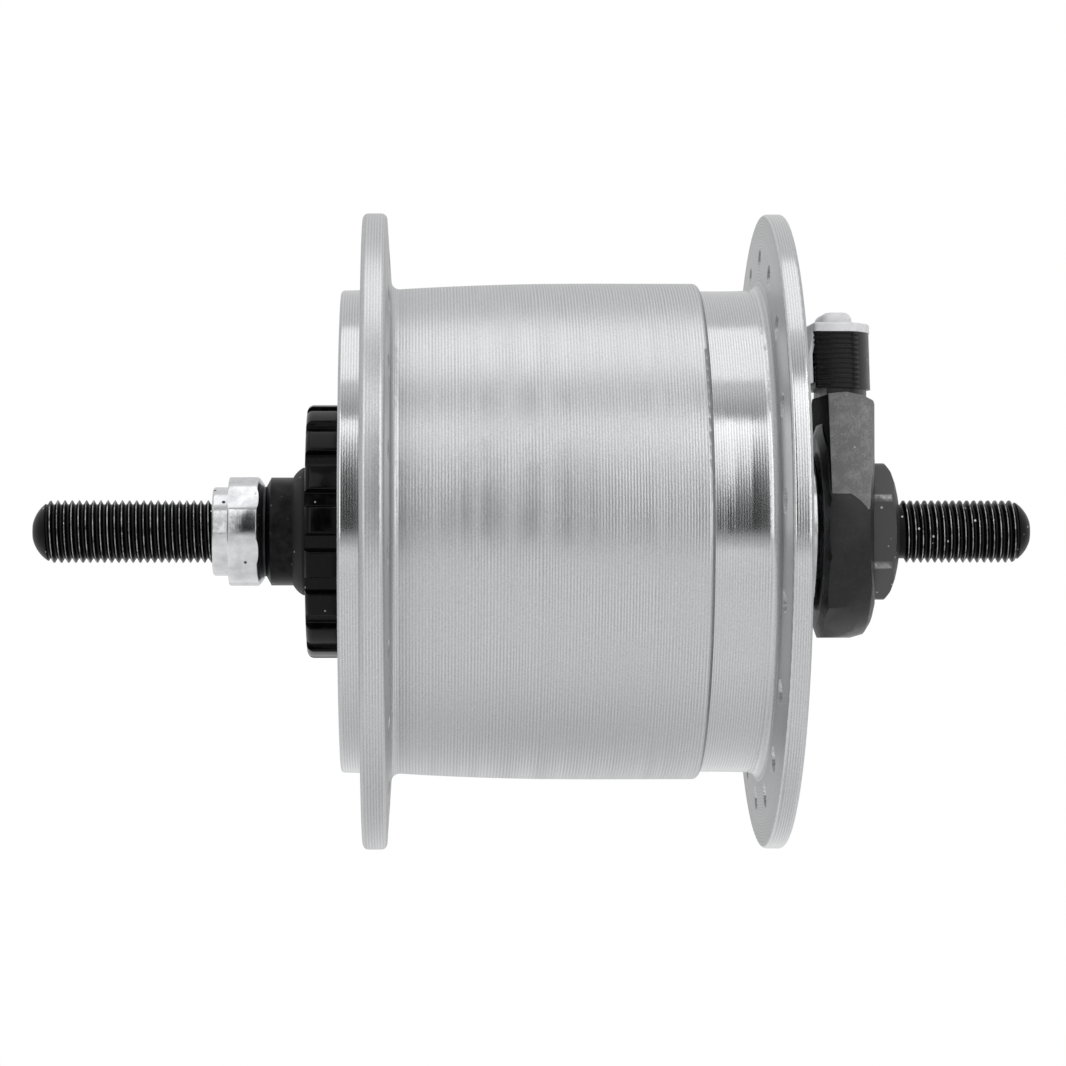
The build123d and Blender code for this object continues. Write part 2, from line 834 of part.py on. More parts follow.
def terminal_housing():
    channel_l = lead_groove_w + 2 * lead_channel_margin
    base = turned(
        (bore_r, housing_inner_y),
        (base_corner_r - base_inner_drop, housing_inner_y),
        (base_corner_r, housing_edge_y),
        (base_taper_r, base_taper_y),
        (base_shoulder_r, base_shoulder_y),
        (base_face_r, housing_outer_y),
        (bore_r, housing_outer_y),
    )
    sides = RegularPolygon(base_corner_r, base_sides, rotation=base_turn)
    base = base & prism(sides, housing_inner_y, housing_outer_y)
    body = (base + arm()) & housing_plan()
    neck_floor_z = arm_top_outer_z - overrun
    neck = extrude(plug_outline(-neck_inset), amount=plug_bottom_z - neck_floor_z)
    above = prism(Rectangle(plug_length, 2 * plug_bottom_z), housing_edge_y, housing_outer_y)
    body += (Pos(0, 0, neck_floor_z) * neck) & above
    body += tongue()
    shaft = prism(Circle(bore_r), housing_inner_y + overrun, housing_outer_y - overrun)
    nut_recess = prism(Circle(nut_recess_r), right_seat_y, housing_outer_y - overrun)
    cone_recess_r = right_cone_r + seat_clearance
    cone_recess = prism(Circle(cone_recess_r), housing_inner_y + overrun, right_cone_y)
    channel = Pos(0, plug_y, 0) * Box(
        channel_l,
        channel_l,
        contact_bottom_z + contact_foot_height,
        align=(Align.CENTER, Align.CENTER, Align.MIN),
    )
    body -= [shaft, nut_recess, cone_recess, channel]
    return body - [contact(side, contact_clearance) for side in (-1, 1)]


def plug_outline(growth=0):
    """The plug seen from above, grown or shrunk all round."""
    half_l = plug_length / 2
    outer_y = plug_corner_y - plug_bulge
    outer = ThreePointArc((half_l, plug_corner_y), (0, outer_y), (-half_l, plug_corner_y))
    inner = Polyline(
        (-half_l, plug_corner_y),
        (-half_l, plug_inner_y),
        (half_l, plug_inner_y),
        (half_l, plug_corner_y),
    )
    face = make_face(outer + inner)
    face = fillet(face.vertices(), plug_corner_r)
    return offset(face, amount=growth) if growth else face


def plug_body():
    body = Pos(0, 0, plug_bottom_z) * extrude(plug_outline(), amount=plug_height)
    pitch = plug_height / (rib_count + 1)
    groove_h = pitch * rib_groove_share
    window_l = rib_reach + overrun
    window_x = plug_length / 2 + overrun - window_l / 2
    windows = []
    for side in (-1, 1):
        window = Rectangle(window_l, 2 * (plug_w + plug_bulge))
        windows.append(Pos(side * window_x, plug_y, 0) * window)
    band = (windows[0] + windows[1]) - plug_outline(-rib_depth)
    grooves = []
    for rib in range(rib_count):
        z = plug_bottom_z + (rib + 1) * pitch - groove_h / 2
        grooves.append(Pos(0, 0, z) * extrude(band, amount=groove_h))
    body -= grooves
    body -= tongue(tongue_gap)
    return body - [contact(side, socket_clearance) for side in (-1, 1)]


def dome(width, height):
    """The cross section of a low dome, standing on the line between its ends."""
    arc = ThreePointArc((-width / 2, 0), (0, height), (width / 2, 0))
    return make_face(arc + Line((width / 2, 0), (-width / 2, 0)))


def plug_cover():
    """The light cover: plate, domed grip and inner leaf."""
    plate = extrude(plug_outline(lid_overhang), amount=lid_t)
    plate = fillet(plate.faces().sort_by(Axis.Z)[-1].edges(), lid_edge_r)
    along = extrude(Plane.XZ * dome(grip_length, grip_height), amount=grip_w, both=True)
    across = extrude(Plane.YZ * dome(grip_w, grip_height), amount=grip_length, both=True)
    grip = Pos(0, plug_y + grip_shift, lid_t) * (along & across)
    near_y = plug_inner_y + lid_overhang
    far_y = plug_inner_y + leaf_flare
    leaf_side = Polyline(
        (near_y, lid_t - lid_edge_r),
        (far_y, leaf_flare_height - plug_height),
        (far_y, leaf_tail_height - plug_height),
        (far_y - leaf_t, leaf_tail_height - plug_height),
        (far_y - leaf_t, leaf_flare_height - plug_height),
        (near_y - leaf_t, 0),
        (near_y - leaf_t, lid_t - lid_edge_r),
        close=True,
    )
    leaf_reach = plug_length / 2 - leaf_inset
    leaf = extrude(Plane.YZ * make_face(leaf_side), amount=leaf_reach, both=True)
    cover = Pos(0, 0, plug_top_z) * (plate + grip + leaf)
    return cover - Pos(0, 0, plug_bottom_z) * extrude(plug_outline(), amount=plug_height)


def rotor_ring():
    half = rotor_ring_length / 2
    return turned(
        (magnet_outer_r, rotor_mid_y - half),
        (shell_bore_r, rotor_mid_y - half),
        (shell_bore_r, rotor_mid_y + half),
        (magnet_outer_r, rotor_mid_y + half),
    )


def rotor_magnets():
    """Four ferrite arcs bonded inside the ring."""
    half = magnet_length / 2
    face = profile(
        (magnet_outer_r - magnet_t, rotor_mid_y - half),
        (magnet_outer_r, rotor_mid_y - half),
        (magnet_outer_r, rotor_mid_y + half),
        (magnet_outer_r - magnet_t, rotor_mid_y + half),
    )
    pitch = 360 / magnet_count
    arc = revolve(face, Axis.Y, revolution_arc=pitch - magnet_gap_angle)
    return [Rot(0, index * pitch, 0) * arc for index in range(magnet_count)]


def stator_yoke(from_y, way, first_angle):
    """A steel disc whose claws reach across the coil, between the other yoke's claws."""
    disc_r = stator_r - yoke_t
    disc = turned(
        (core_r, from_y),
        (stator_r - yoke_t, from_y),
        (stator_r - yoke_t, from_y + way * yoke_t),
        (core_r, from_y + way * yoke_t),
    )
    reach = stator_left_y - stator_right_y - yoke_t - claw_short
    claw_face = profile(
        (disc_r - overrun, from_y),
        (stator_r, from_y),
        (stator_r, from_y + way * reach),
        (disc_r, from_y + way * reach),
        (disc_r, from_y + way * yoke_t),
        (disc_r - overrun, from_y + way * yoke_t),
    )
    claw = revolve(claw_face, Axis.Y, revolution_arc=claw_angle)
    claws = []
    for index in range(claw_count):
        angle = first_angle + index * 360 / claw_count
        claws.append(Rot(0, angle - claw_angle / 2, 0) * claw)
    return disc + claws


def lead_hole():
    """The hole through which both leads leave the coil."""
    hole_r = lead_spacing / 2 + lead_r + lead_hole_margin
    from_y = stator_right_y + yoke_t + bobbin_wall + overrun
    return Pos(0, 0, lead_hole_z) * prism(Circle(hole_r), from_y, stator_right_y - overrun)


def stator_yoke_left():
    return stator_yoke(stator_left_y, -1, 0)


def stator_yoke_right():
    return stator_yoke(stator_right_y, 1, 180 / claw_count) - lead_hole()


def stator_core():
    return turned(
        (journal_r + thread_clearance, stator_left_y),
        (core_r, stator_left_y),
        (core_r, stator_right_y),
        (journal_r + thread_clearance, stator_right_y),
    )


def coil_bobbin():
    left_y = stator_left_y - yoke_t
    right_y = stator_right_y + yoke_t
    flange_edge_r = stator_r - yoke_t - bobbin_gap
    tube_r = core_r + bobbin_wall
    spool = turned(
        (core_r, left_y),
        (flange_edge_r, left_y),
        (flange_edge_r, left_y - bobbin_wall),
        (tube_r, left_y - bobbin_wall),
        (tube_r, right_y + bobbin_wall),
        (flange_edge_r, right_y + bobbin_wall),
        (flange_edge_r, right_y),
        (core_r, right_y),
    )
    return spool - lead_hole()


def coil_winding():
    left_y = stator_left_y - yoke_t - bobbin_wall
    right_y = stator_right_y + yoke_t + bobbin_wall
    return turned(
        (core_r + bobbin_wall, left_y),
        (stator_r - yoke_t - bobbin_gap - coil_margin, left_y),
        (stator_r - yoke_t - bobbin_gap - coil_margin, right_y),
        (core_r + bobbin_wall, right_y),
    )


def stator_washer():
    outer_r = core_r + stator_washer_rise
    return turned(
        (journal_r + thread_clearance, stator_left_y),
        (outer_r, stator_left_y),
        (outer_r, stator_nut_inner_y),
        (journal_r + thread_clearance, stator_nut_inner_y),
    )


def stator_nut():
    flats = 2 * (journal_r + stator_nut_wall)
    nut = prism(hexagon(flats, 0), stator_nut_outer_y, stator_nut_inner_y)
    hole = Circle(journal_r + thread_clearance)
    return nut - prism(hole, stator_nut_outer_y + overrun, stator_nut_inner_y - overrun)


def lead(side):
    """One insulated lead from the coil, along the axle's groove, to its contact."""
    x = side * lead_spacing / 2
    groove_z = lead_groove_floor_z + lead_r + thread_clearance
    coil_y = stator_right_y + yoke_t + bobbin_wall
    bend_y = stator_right_y - lead_bend_r
    drop = lead_hole_z - groove_z
    path = FilletPolyline(
        (x, coil_y, lead_hole_z),
        (x, bend_y, lead_hole_z),
        (x, bend_y - drop, groove_z),
        (x, plug_y, groove_z),
        (x, plug_y, contact_bottom_z),
        radius=lead_bend_r,
    )
    section = Plane(origin=path @ 0, z_dir=path % 0) * Circle(lead_r)
    return sweep(section, path=path)


def lead_wires():
    return [lead(side) for side in (-1, 1)]


nodes = {
    "axle": axle,
    "left_locknut": left_locknut,
    "left_lock_washer": left_lock_washer,
    "left_cone": left_cone,
    "left_cone_seal": left_cone_seal,
    "right_cone": right_cone,
    "right_lock_washer": right_lock_washer,
    "right_locknut": right_locknut,
    "terminal_housing": terminal_housing,
    "terminal_contacts": terminal_contacts,
    "lead_wires": lead_wires,
    "stator_core": stator_core,
    "stator_yoke_left": stator_yoke_left,
    "stator_yoke_right": stator_yoke_right,
    "coil_bobbin": coil_bobbin,
    "coil_winding": coil_winding,
    "stator_washer": stator_washer,
    "stator_nut": stator_nut,
    "hub_shell": hub_shell,
    "right_flange_cap": right_flange_cap,
    "left_end_cover": left_end_cover,
    "brake_spline_plate": brake_spline_plate,
    "left_grease_ring": left_grease_ring,
    "right_dust_cap": right_dust_cap,
    "left_bearing_cup": lambda: cup(left_ball_y, 1),
    "right_bearing_cup": lambda: cup(right_ball_y, -1),
    "rotor_ring": rotor_ring,
    "rotor_magnets": rotor_magnets,
    "left_balls": lambda: ball_set(left_ball_y),
    "left_ball_cage": lambda: cage(left_ball_y, 1),
    "right_balls": lambda: ball_set(right_ball_y),
    "right_ball_cage": lambda: cage(right_ball_y, -1),
    "plug_body": plug_body,
    "plug_cover": plug_cover,
}

os.makedirs("parts", exist_ok=True)
for name, make in nodes.items():
    shape = make()
    solids = shape if isinstance(shape, list) else [shape]
    solids = [solid for piece in solids for solid in piece.solids()]
    export_step(Compound(children=solids), "parts/" + name + ".step")
    print(name, len(solids), round(sum(solid.volume for solid in solids)))
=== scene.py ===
# %% [markdown]
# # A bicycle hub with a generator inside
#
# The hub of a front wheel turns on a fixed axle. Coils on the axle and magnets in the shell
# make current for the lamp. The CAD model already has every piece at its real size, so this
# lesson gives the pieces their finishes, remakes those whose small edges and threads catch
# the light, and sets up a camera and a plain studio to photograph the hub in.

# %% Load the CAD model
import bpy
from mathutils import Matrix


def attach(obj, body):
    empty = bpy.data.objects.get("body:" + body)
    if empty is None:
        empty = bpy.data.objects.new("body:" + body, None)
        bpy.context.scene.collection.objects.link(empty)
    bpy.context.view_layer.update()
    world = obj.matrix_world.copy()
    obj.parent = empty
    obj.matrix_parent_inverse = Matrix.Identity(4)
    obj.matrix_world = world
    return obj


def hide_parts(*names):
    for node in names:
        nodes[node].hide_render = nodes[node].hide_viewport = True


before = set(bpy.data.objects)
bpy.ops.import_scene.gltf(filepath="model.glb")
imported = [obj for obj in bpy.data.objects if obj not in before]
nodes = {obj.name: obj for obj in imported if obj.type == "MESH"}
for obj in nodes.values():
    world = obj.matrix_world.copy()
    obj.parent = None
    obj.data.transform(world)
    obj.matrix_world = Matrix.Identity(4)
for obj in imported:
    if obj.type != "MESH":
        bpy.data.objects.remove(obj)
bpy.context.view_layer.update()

# %% Tools used throughout
from math import atan, cos, degrees, pi, radians, sin, sqrt, tan

import bpy
from mathutils import Vector

MM = 0.001
print("one millimetre is", MM, "metres")

# %% [markdown]
# ## The camera
#
# The photograph was taken with a long lens, level with the axle and slightly to the left of
# its middle. The end faces of the flanges show how far away the camera stood: half a metre
# from the axle. A lens of 120 mm on a 36 mm sensor gives the same picture width.

# %% Place the camera
bpy.ops.object.select_all(action="DESELECT")
camera_place = Vector((-500, 16.6, 0)) * MM
picture_px, focal_px, axle_above_middle_px = 1066, 3557, 1.5
sensor_mm = 36
bpy.ops.object.camera_add(location=camera_place)
camera = bpy.context.active_object
camera.name = "photograph_camera"
camera.rotation_mode = "QUATERNION"
camera.rotation_quaternion = (-camera_place).to_track_quat("-Z", "Y")
camera.data.sensor_width = sensor_mm
camera.data.lens = sensor_mm * focal_px / picture_px
camera.data.shift_y = -axle_above_middle_px / picture_px
camera.data.clip_start, camera.data.clip_end = 0.01, 20
bpy.context.scene.camera = camera
print("lens", round(camera.data.lens, 1), "mm, distance", round(camera_place.length, 3), "m")

# %% [markdown]
# ## Colours and nodes
#
# Colours are written as sRGB hex values, the way a colour picker shows them. Blender's
# shaders work with linear light, so one function turns one into the other. A second small
# function adds a node with its options, values and links, which keeps each finish readable.


# %% Turn a hex colour into linear light
def linear(hex_colour):
    """Linear red, green, blue and an alpha of one, from an sRGB value such as C0C2C5."""
    channels = [int(hex_colour[i:i + 2], 16) / 255 for i in (0, 2, 4)]
    light = [c / 12.92 if c <= 0.04045 else ((c + 0.055) / 1.055) ** 2.4 for c in channels]
    return (*light, 1)


print("mid grey 808080 is", round(linear("808080")[0], 3), "in linear light")


# %% Add one node
def add_node(tree, kind, options=None, values=None, links=None):
    """Adds a node, sets its options and plain values, and links its inputs to outputs."""
    node = tree.nodes.new(kind)
    for name, value in (options or {}).items():
        setattr(node, name, value)
    for socket, value in (values or {}).items():
        node.inputs[socket].default_value = value
    for socket, output in (links or {}).items():
        tree.links.new(output, node.inputs[socket])
    return node


def new_finish(name, **values):
    """A material with one Principled shader, whose plain values are given by name."""
    finish = bpy.data.materials.new(name)
    finish.use_nodes = True
    tree = finish.node_tree
    shader = tree.nodes["Principled BSDF"]
    for socket, value in values.items():
        shader.inputs[socket.replace("_", " ")].default_value = value
    return finish, tree, shader


print("node helpers ready")

# %% [markdown]
# ## Where a pattern sits
#
# A lathe leaves rings. On a tube they are lines round it, spaced along the axle. On a flange's
# face they are circles, spaced by their radius. Adding the place along the axle to the
# distance from it gives one number that changes across both, so the same pattern suits the
# barrel, the flanges and the cones between them.


# %% Measure the surface in millimetres
def place_mm(tree):
    """The point on the piece, in millimetres, from its Object coordinates."""
    coordinates = add_node(tree, "ShaderNodeTexCoord")
    return add_node(
        tree, "ShaderNodeVectorMath", {"operation": "SCALE"}, {"Scale": 1000},
        {0: coordinates.outputs["Object"]},
    ).outputs["Vector"]


def radius_and_lathe_place(tree, place):
    """The distance from the axle, and that distance plus the place along the axle."""
    flat = add_node(
        tree, "ShaderNodeVectorMath", {"operation": "MULTIPLY"}, {1: (1, 0, 1)}, {0: place}
    ).outputs["Vector"]
    radius = add_node(
        tree, "ShaderNodeVectorMath", {"operation": "LENGTH"}, {}, {0: flat}
    ).outputs["Value"]
    along = add_node(tree, "ShaderNodeSeparateXYZ", {}, {}, {0: place}).outputs["Y"]
    added = add_node(
        tree, "ShaderNodeMath", {"operation": "ADD"}, {}, {0: along, 1: radius}
    ).outputs["Value"]
    return radius, added


print("a point on the piece is now known in millimetres")

# %% [markdown]
# ## Satin aluminium
#
# The barrel and both flanges are aluminium, turned on a lathe and anodised clear. The tool
# leaves a fine groove each turn, 0.4 mm after the last, and the etch before anodising leaves a
# satin grain. To the eye that is a soft silver with faint upright lines that come and go, and
# each highlight spreads out. A sine of the place along the axle draws the grooves, and noise
# makes them fade here and there. The right flange's neck and rim and the left cover's rim get a
# finer last cut. They shine more, and mirror the room more clearly.


# %% Make the turned aluminium finishes
def turned_aluminium(name, light, dark, feed_mm, groove_mm, roughness):
    """Silver with a groove every feed_mm, groove_mm deep, over a fine satin grain."""
    chatter_mm, patch_mm, grain_mm = 2.5, 9, 0.2
    groove_drift, grain_height = 5.0, 2.2
    finish, tree, shader = new_finish(name, Metallic=1.0)
    place = place_mm(tree)
    across = radius_and_lathe_place(tree, place)[1]
    chatter = add_node(
        tree, "ShaderNodeTexNoise", {"noise_dimensions": "1D"},
        {"Scale": 1 / chatter_mm, "Detail": 2.0}, {"W": across},
    ).outputs["Fac"]
    drift = add_node(
        tree, "ShaderNodeMath", {"operation": "MULTIPLY"}, {1: groove_drift}, {0: chatter}
    ).outputs["Value"]
    turns = add_node(
        tree, "ShaderNodeMath", {"operation": "MULTIPLY_ADD"}, {1: 2 * pi / feed_mm},
        {0: across, 2: drift},
    ).outputs["Value"]
    groove = add_node(
        tree, "ShaderNodeMath", {"operation": "SINE"}, {}, {0: turns}
    ).outputs["Value"]
    patches = add_node(
        tree, "ShaderNodeTexNoise", {}, {"Scale": 1 / patch_mm, "Detail": 3.0, "Roughness": 0.6},
        {"Vector": place},
    ).outputs["Fac"]
    depth = add_node(
        tree, "ShaderNodeMapRange", {},
        {"From Min": 0.35, "From Max": 0.65, "To Min": 0.35, "To Max": 1.0}, {"Value": patches},
    ).outputs["Result"]
    cut = add_node(
        tree, "ShaderNodeMath", {"operation": "MULTIPLY"}, {}, {0: groove, 1: depth}
    ).outputs["Value"]
    grain = add_node(
        tree, "ShaderNodeTexNoise", {}, {"Scale": 1 / grain_mm, "Detail": 1.0}, {"Vector": place}
    ).outputs["Fac"]
    height = add_node(
        tree, "ShaderNodeMath", {"operation": "MULTIPLY_ADD"}, {1: grain_height},
        {0: grain, 2: cut},
    ).outputs["Value"]
    share = add_node(
        tree, "ShaderNodeMapRange", {},
        {"From Min": -0.2, "From Max": 2.4}, {"Value": height},
    ).outputs["Result"]
    tone = add_node(
        tree, "ShaderNodeMix", {"data_type": "RGBA"}, {6: linear(dark), 7: linear(light)},
        {0: share},
    ).outputs[2]
    tree.links.new(tone, shader.inputs["Base Color"])
    rough = add_node(
        tree, "ShaderNodeMapRange", {},
        {"From Min": 0.3, "From Max": 0.7, "To Min": roughness - 0.04, "To Max": roughness + 0.04},
        {"Value": chatter},
    ).outputs["Result"]
    tree.links.new(rough, shader.inputs["Roughness"])
    skin = add_node(
        tree, "ShaderNodeBump", {}, {"Distance": groove_mm * MM, "Strength": 0.6},
        {"Height": height},
    ).outputs["Normal"]
    tree.links.new(skin, shader.inputs["Normal"])
    return finish


barrel_aluminium = turned_aluminium(
    "satin_turned_aluminium", "D2D3D4", "A5A6A8", feed_mm=0.41, groove_mm=0.009, roughness=0.34
)
flange_aluminium = turned_aluminium(
    "bright_turned_aluminium", "D0D1D2", "A7A8AA", feed_mm=0.35, groove_mm=0.002, roughness=0.16
)
print("made", barrel_aluminium.name, "and", flange_aluminium.name)

# %% [markdown]
# ## Steel
#
# The pieces inside are ground, pressed or bare steel: plain grey with cloudy patches and fine
# scratches round the axle. The left locknut is zinc plated, which is brighter and bluer. The
# plating is thin and has a few chipped specks. Its colour also holds a painted dark reflection:
# a mottled dark band level with the axle, where the gap between the lamps would show.


# %% Make the plain steel finishes
def plain_steel(name, light, dark, roughness, blotch_mm, dark_reflection=0.0):
    """Cloudy steel with turning marks, and, if asked, chipped specks and a painted dark reflection
    in a band level with the axle.
    """
    turning_mm, reflection_mottle_mm, chip_every_mm = 0.3, 0.7, 2.6
    dark_reflection_z, dark_reflection_full, dark_reflection_none = 1.3, 0.6, 2.9
    finish, tree, shader = new_finish(name, Metallic=1.0)
    place = place_mm(tree)
    across = radius_and_lathe_place(tree, place)[1]
    cloud = add_node(
        tree, "ShaderNodeTexNoise", {}, {"Scale": 1 / blotch_mm, "Detail": 4.0, "Roughness": 0.6},
        {"Vector": place},
    ).outputs["Fac"]
    marks = add_node(
        tree, "ShaderNodeTexNoise", {"noise_dimensions": "1D"},
        {"Scale": 1 / turning_mm, "Detail": 2.0}, {"W": across},
    ).outputs["Fac"]
    share = add_node(
        tree, "ShaderNodeMapRange", {}, {"From Min": 0.35, "From Max": 0.65}, {"Value": cloud}
    ).outputs["Result"]
    tone = add_node(
        tree, "ShaderNodeMix", {"data_type": "RGBA"}, {6: linear(light), 7: linear(dark)},
        {0: share},
    ).outputs[2]
    # A painted dark reflection: a mottled band, full within 0.6 mm of a height of 1.3 mm and gone
    # by 2.9 mm, darkened towards 2A2A2B, plus chipped specks.
    if dark_reflection:
        upward = add_node(tree, "ShaderNodeSeparateXYZ", {}, {}, {0: place}).outputs["Z"]
        off_middle = add_node(
            tree, "ShaderNodeMath", {"operation": "SUBTRACT"}, {1: dark_reflection_z}, {0: upward}
        ).outputs["Value"]
        height = add_node(
            tree, "ShaderNodeMath", {"operation": "ABSOLUTE"}, {}, {0: off_middle}
        ).outputs["Value"]
        band = add_node(
            tree, "ShaderNodeMapRange", {"interpolation_type": "SMOOTHSTEP"},
            {"From Min": dark_reflection_full, "From Max": dark_reflection_none, "To Min": 1.0, "To Max": 0.0},
            {"Value": height},
        ).outputs["Result"]
        mottle = add_node(
            tree, "ShaderNodeTexNoise", {},
            {"Scale": 1 / reflection_mottle_mm, "Detail": 5.0, "Roughness": 0.7}, {"Vector": place},
        ).outputs["Fac"]
        mottled_reflection = add_node(
            tree, "ShaderNodeMapRange", {},
            {"From Min": 0.3, "From Max": 0.62, "To Min": 0.25, "To Max": dark_reflection},
            {"Value": mottle},
        ).outputs["Result"]
        painted_reflection = add_node(
            tree, "ShaderNodeMath", {"operation": "MULTIPLY"}, {}, {0: mottled_reflection, 1: band}
        ).outputs["Value"]
        cells = add_node(
            tree, "ShaderNodeTexVoronoi", {}, {"Scale": 1 / chip_every_mm}, {"Vector": place}
        ).outputs["Distance"]
        chips = add_node(
            tree, "ShaderNodeMapRange", {},
            {"From Min": 0.08, "From Max": 0.12, "To Min": 1.0, "To Max": 0.0}, {"Value": cells},
        ).outputs["Result"]
        reflection_and_chips = add_node(
            tree, "ShaderNodeMath", {"operation": "MAXIMUM"}, {}, {0: painted_reflection, 1: chips}
        ).outputs["Value"]
        tone = add_node(
            tree, "ShaderNodeMix", {"data_type": "RGBA"}, {7: linear("2A2A2B")},
            {0: reflection_and_chips, 6: tone},
        ).outputs[2]
    tree.links.new(tone, shader.inputs["Base Color"])
    rough = add_node(
        tree, "ShaderNodeMapRange", {},
        {"From Min": 0.3, "From Max": 0.7, "To Min": roughness - 0.06, "To Max": roughness + 0.08},
        {"Value": cloud},
    ).outputs["Result"]
    tree.links.new(rough, shader.inputs["Roughness"])
    skin = add_node(
        tree, "ShaderNodeBump", {}, {"Distance": 0.006 * MM, "Strength": 0.5}, {"Height": marks}
    ).outputs["Normal"]
    tree.links.new(skin, shader.inputs["Normal"])
    return finish


# Each has its light and dark colour, its roughness and the width of its blotches in millimetres.
# The zinc is bright and bluish, with a painted dark reflection in a band level with the axle,
# and the cages are brass, a soft yellow.
zinc_plate = plain_steel("zinc_plated_steel", "DADBDD", "C3C4C7", 0.16, 2.2, dark_reflection=0.6)
pressed_steel = plain_steel("pressed_plated_steel", "C6C7C9", "A9AAAD", 0.22, 5)
ground_steel = plain_steel("ground_bearing_steel", "B4B5B8", "9A9B9E", 0.2, 2)
bare_steel = plain_steel("bare_mild_steel", "8E8F92", "6F7073", 0.42, 4)
dark_steel = plain_steel("dark_lock_washer_steel", "3B3B3D", "29292B", 0.4, 2)
ball_steel = plain_steel("polished_ball_steel", "D8D9DB", "CACBCD", 0.08, 3)
brass = plain_steel("pressed_brass", "C9A75A", "A8873F", 0.3, 3)
print("made", zinc_plate.name, "and six plainer metals")

# %% [markdown]
# ## Blackened steel
#
# The axle, its right locknut and the left cone have a hot black oxide: a skin only a thousandth
# of a millimetre thick, so the metal's shine comes through as a deep grey black. Nuts run on
# and off rub it back to bright steel on the thread's crests. The finish finds the crests by
# their distance from the axle, and noise breaks the wear up into short glints. On the thread's
# crests and the right locknut's corners that bright colour is also a painted highlight, standing
# in for the glints those edges catch.


# %% Make the blackened steel finishes
def blackened_steel(name, black, worn_and_glint, crest_from, crest_to, roughness):
    """Black oxide, lighter where the surface stands further from the axle: worn metal and a painted
    highlight.
    """
    rub_mm, speck_every_mm, pit_mm = 1.2, 1.6, 0.35
    finish, tree, shader = new_finish(name, Metallic=1.0)
    place = place_mm(tree)
    radius = radius_and_lathe_place(tree, place)[0]
    crest = add_node(
        tree, "ShaderNodeMapRange", {}, {"From Min": crest_from, "From Max": crest_to},
        {"Value": radius},
    ).outputs["Result"]
    rubbed = add_node(
        tree, "ShaderNodeTexNoise", {}, {"Scale": 1 / rub_mm, "Detail": 5.0, "Roughness": 0.65},
        {"Vector": place},
    ).outputs["Fac"]
    patch = add_node(
        tree, "ShaderNodeMapRange", {},
        {"From Min": 0.36, "From Max": 0.64, "To Min": 0.15, "To Max": 1.0}, {"Value": rubbed},
    ).outputs["Result"]
    wear_and_glint = add_node(
        tree, "ShaderNodeMath", {"operation": "MULTIPLY"}, {}, {0: crest, 1: patch}
    ).outputs["Value"]
    grit = add_node(
        tree, "ShaderNodeTexVoronoi", {}, {"Scale": 1 / speck_every_mm}, {"Vector": place}
    ).outputs["Distance"]
    specks = add_node(
        tree, "ShaderNodeMapRange", {},
        {"From Min": 0.07, "From Max": 0.13, "To Min": 1.0, "To Max": 0.0}, {"Value": grit},
    ).outputs["Result"]
    bare = add_node(
        tree, "ShaderNodeMath", {"operation": "MAXIMUM"}, {}, {0: wear_and_glint, 1: specks}
    ).outputs["Value"]
    tone = add_node(
        tree, "ShaderNodeMix", {"data_type": "RGBA"}, {6: linear(black), 7: linear(worn_and_glint)},
        {0: bare},
    ).outputs[2]
    tree.links.new(tone, shader.inputs["Base Color"])
    rough = add_node(
        tree, "ShaderNodeMapRange", {}, {"To Min": roughness + 0.1, "To Max": roughness},
        {"Value": bare},
    ).outputs["Result"]
    tree.links.new(rough, shader.inputs["Roughness"])
    fine = add_node(
        tree, "ShaderNodeTexNoise", {}, {"Scale": 1 / pit_mm, "Detail": 3.0}, {"Vector": place}
    ).outputs["Fac"]
    skin = add_node(
        tree, "ShaderNodeBump", {}, {"Distance": 0.01 * MM, "Strength": 0.5}, {"Height": fine}
    ).outputs["Normal"]
    tree.links.new(skin, shader.inputs["Normal"])
    return finish


# Each has its black and its worn colour, which on the axle and the nut is also a painted
# highlight, the radii between which it wears, and its roughness.
axle_black = blackened_steel("blackened_thread_steel", "1E1E1F", "BEBEC0", 4.24, 4.41, 0.3)
nut_black = blackened_steel("blackened_nut_steel", "4E4E4F", "A4A4A5", 9.36, 9.62, 0.36)
cone_black = blackened_steel("blackened_cone_steel", "161617", "4A4A4C", 7.2, 9.4, 0.3)
print("made", axle_black.name, nut_black.name, "and", cone_black.name)

# %% [markdown]
# ## Black enamel, plastics and rubber
#
# The spline plate is enamelled glossy black. The terminal housing is injection moulded in
# glass-filled nylon: smooth and dark where the mould was polished, sandblasted to a dull mid
# grey on the arm. The plug is black ABS and its cover light grey ABS, which shine softly and
# evenly. Every moulded skin gets a fine grain, a few scuffs and specks of pale dust, because
# black shows dust before any other colour.


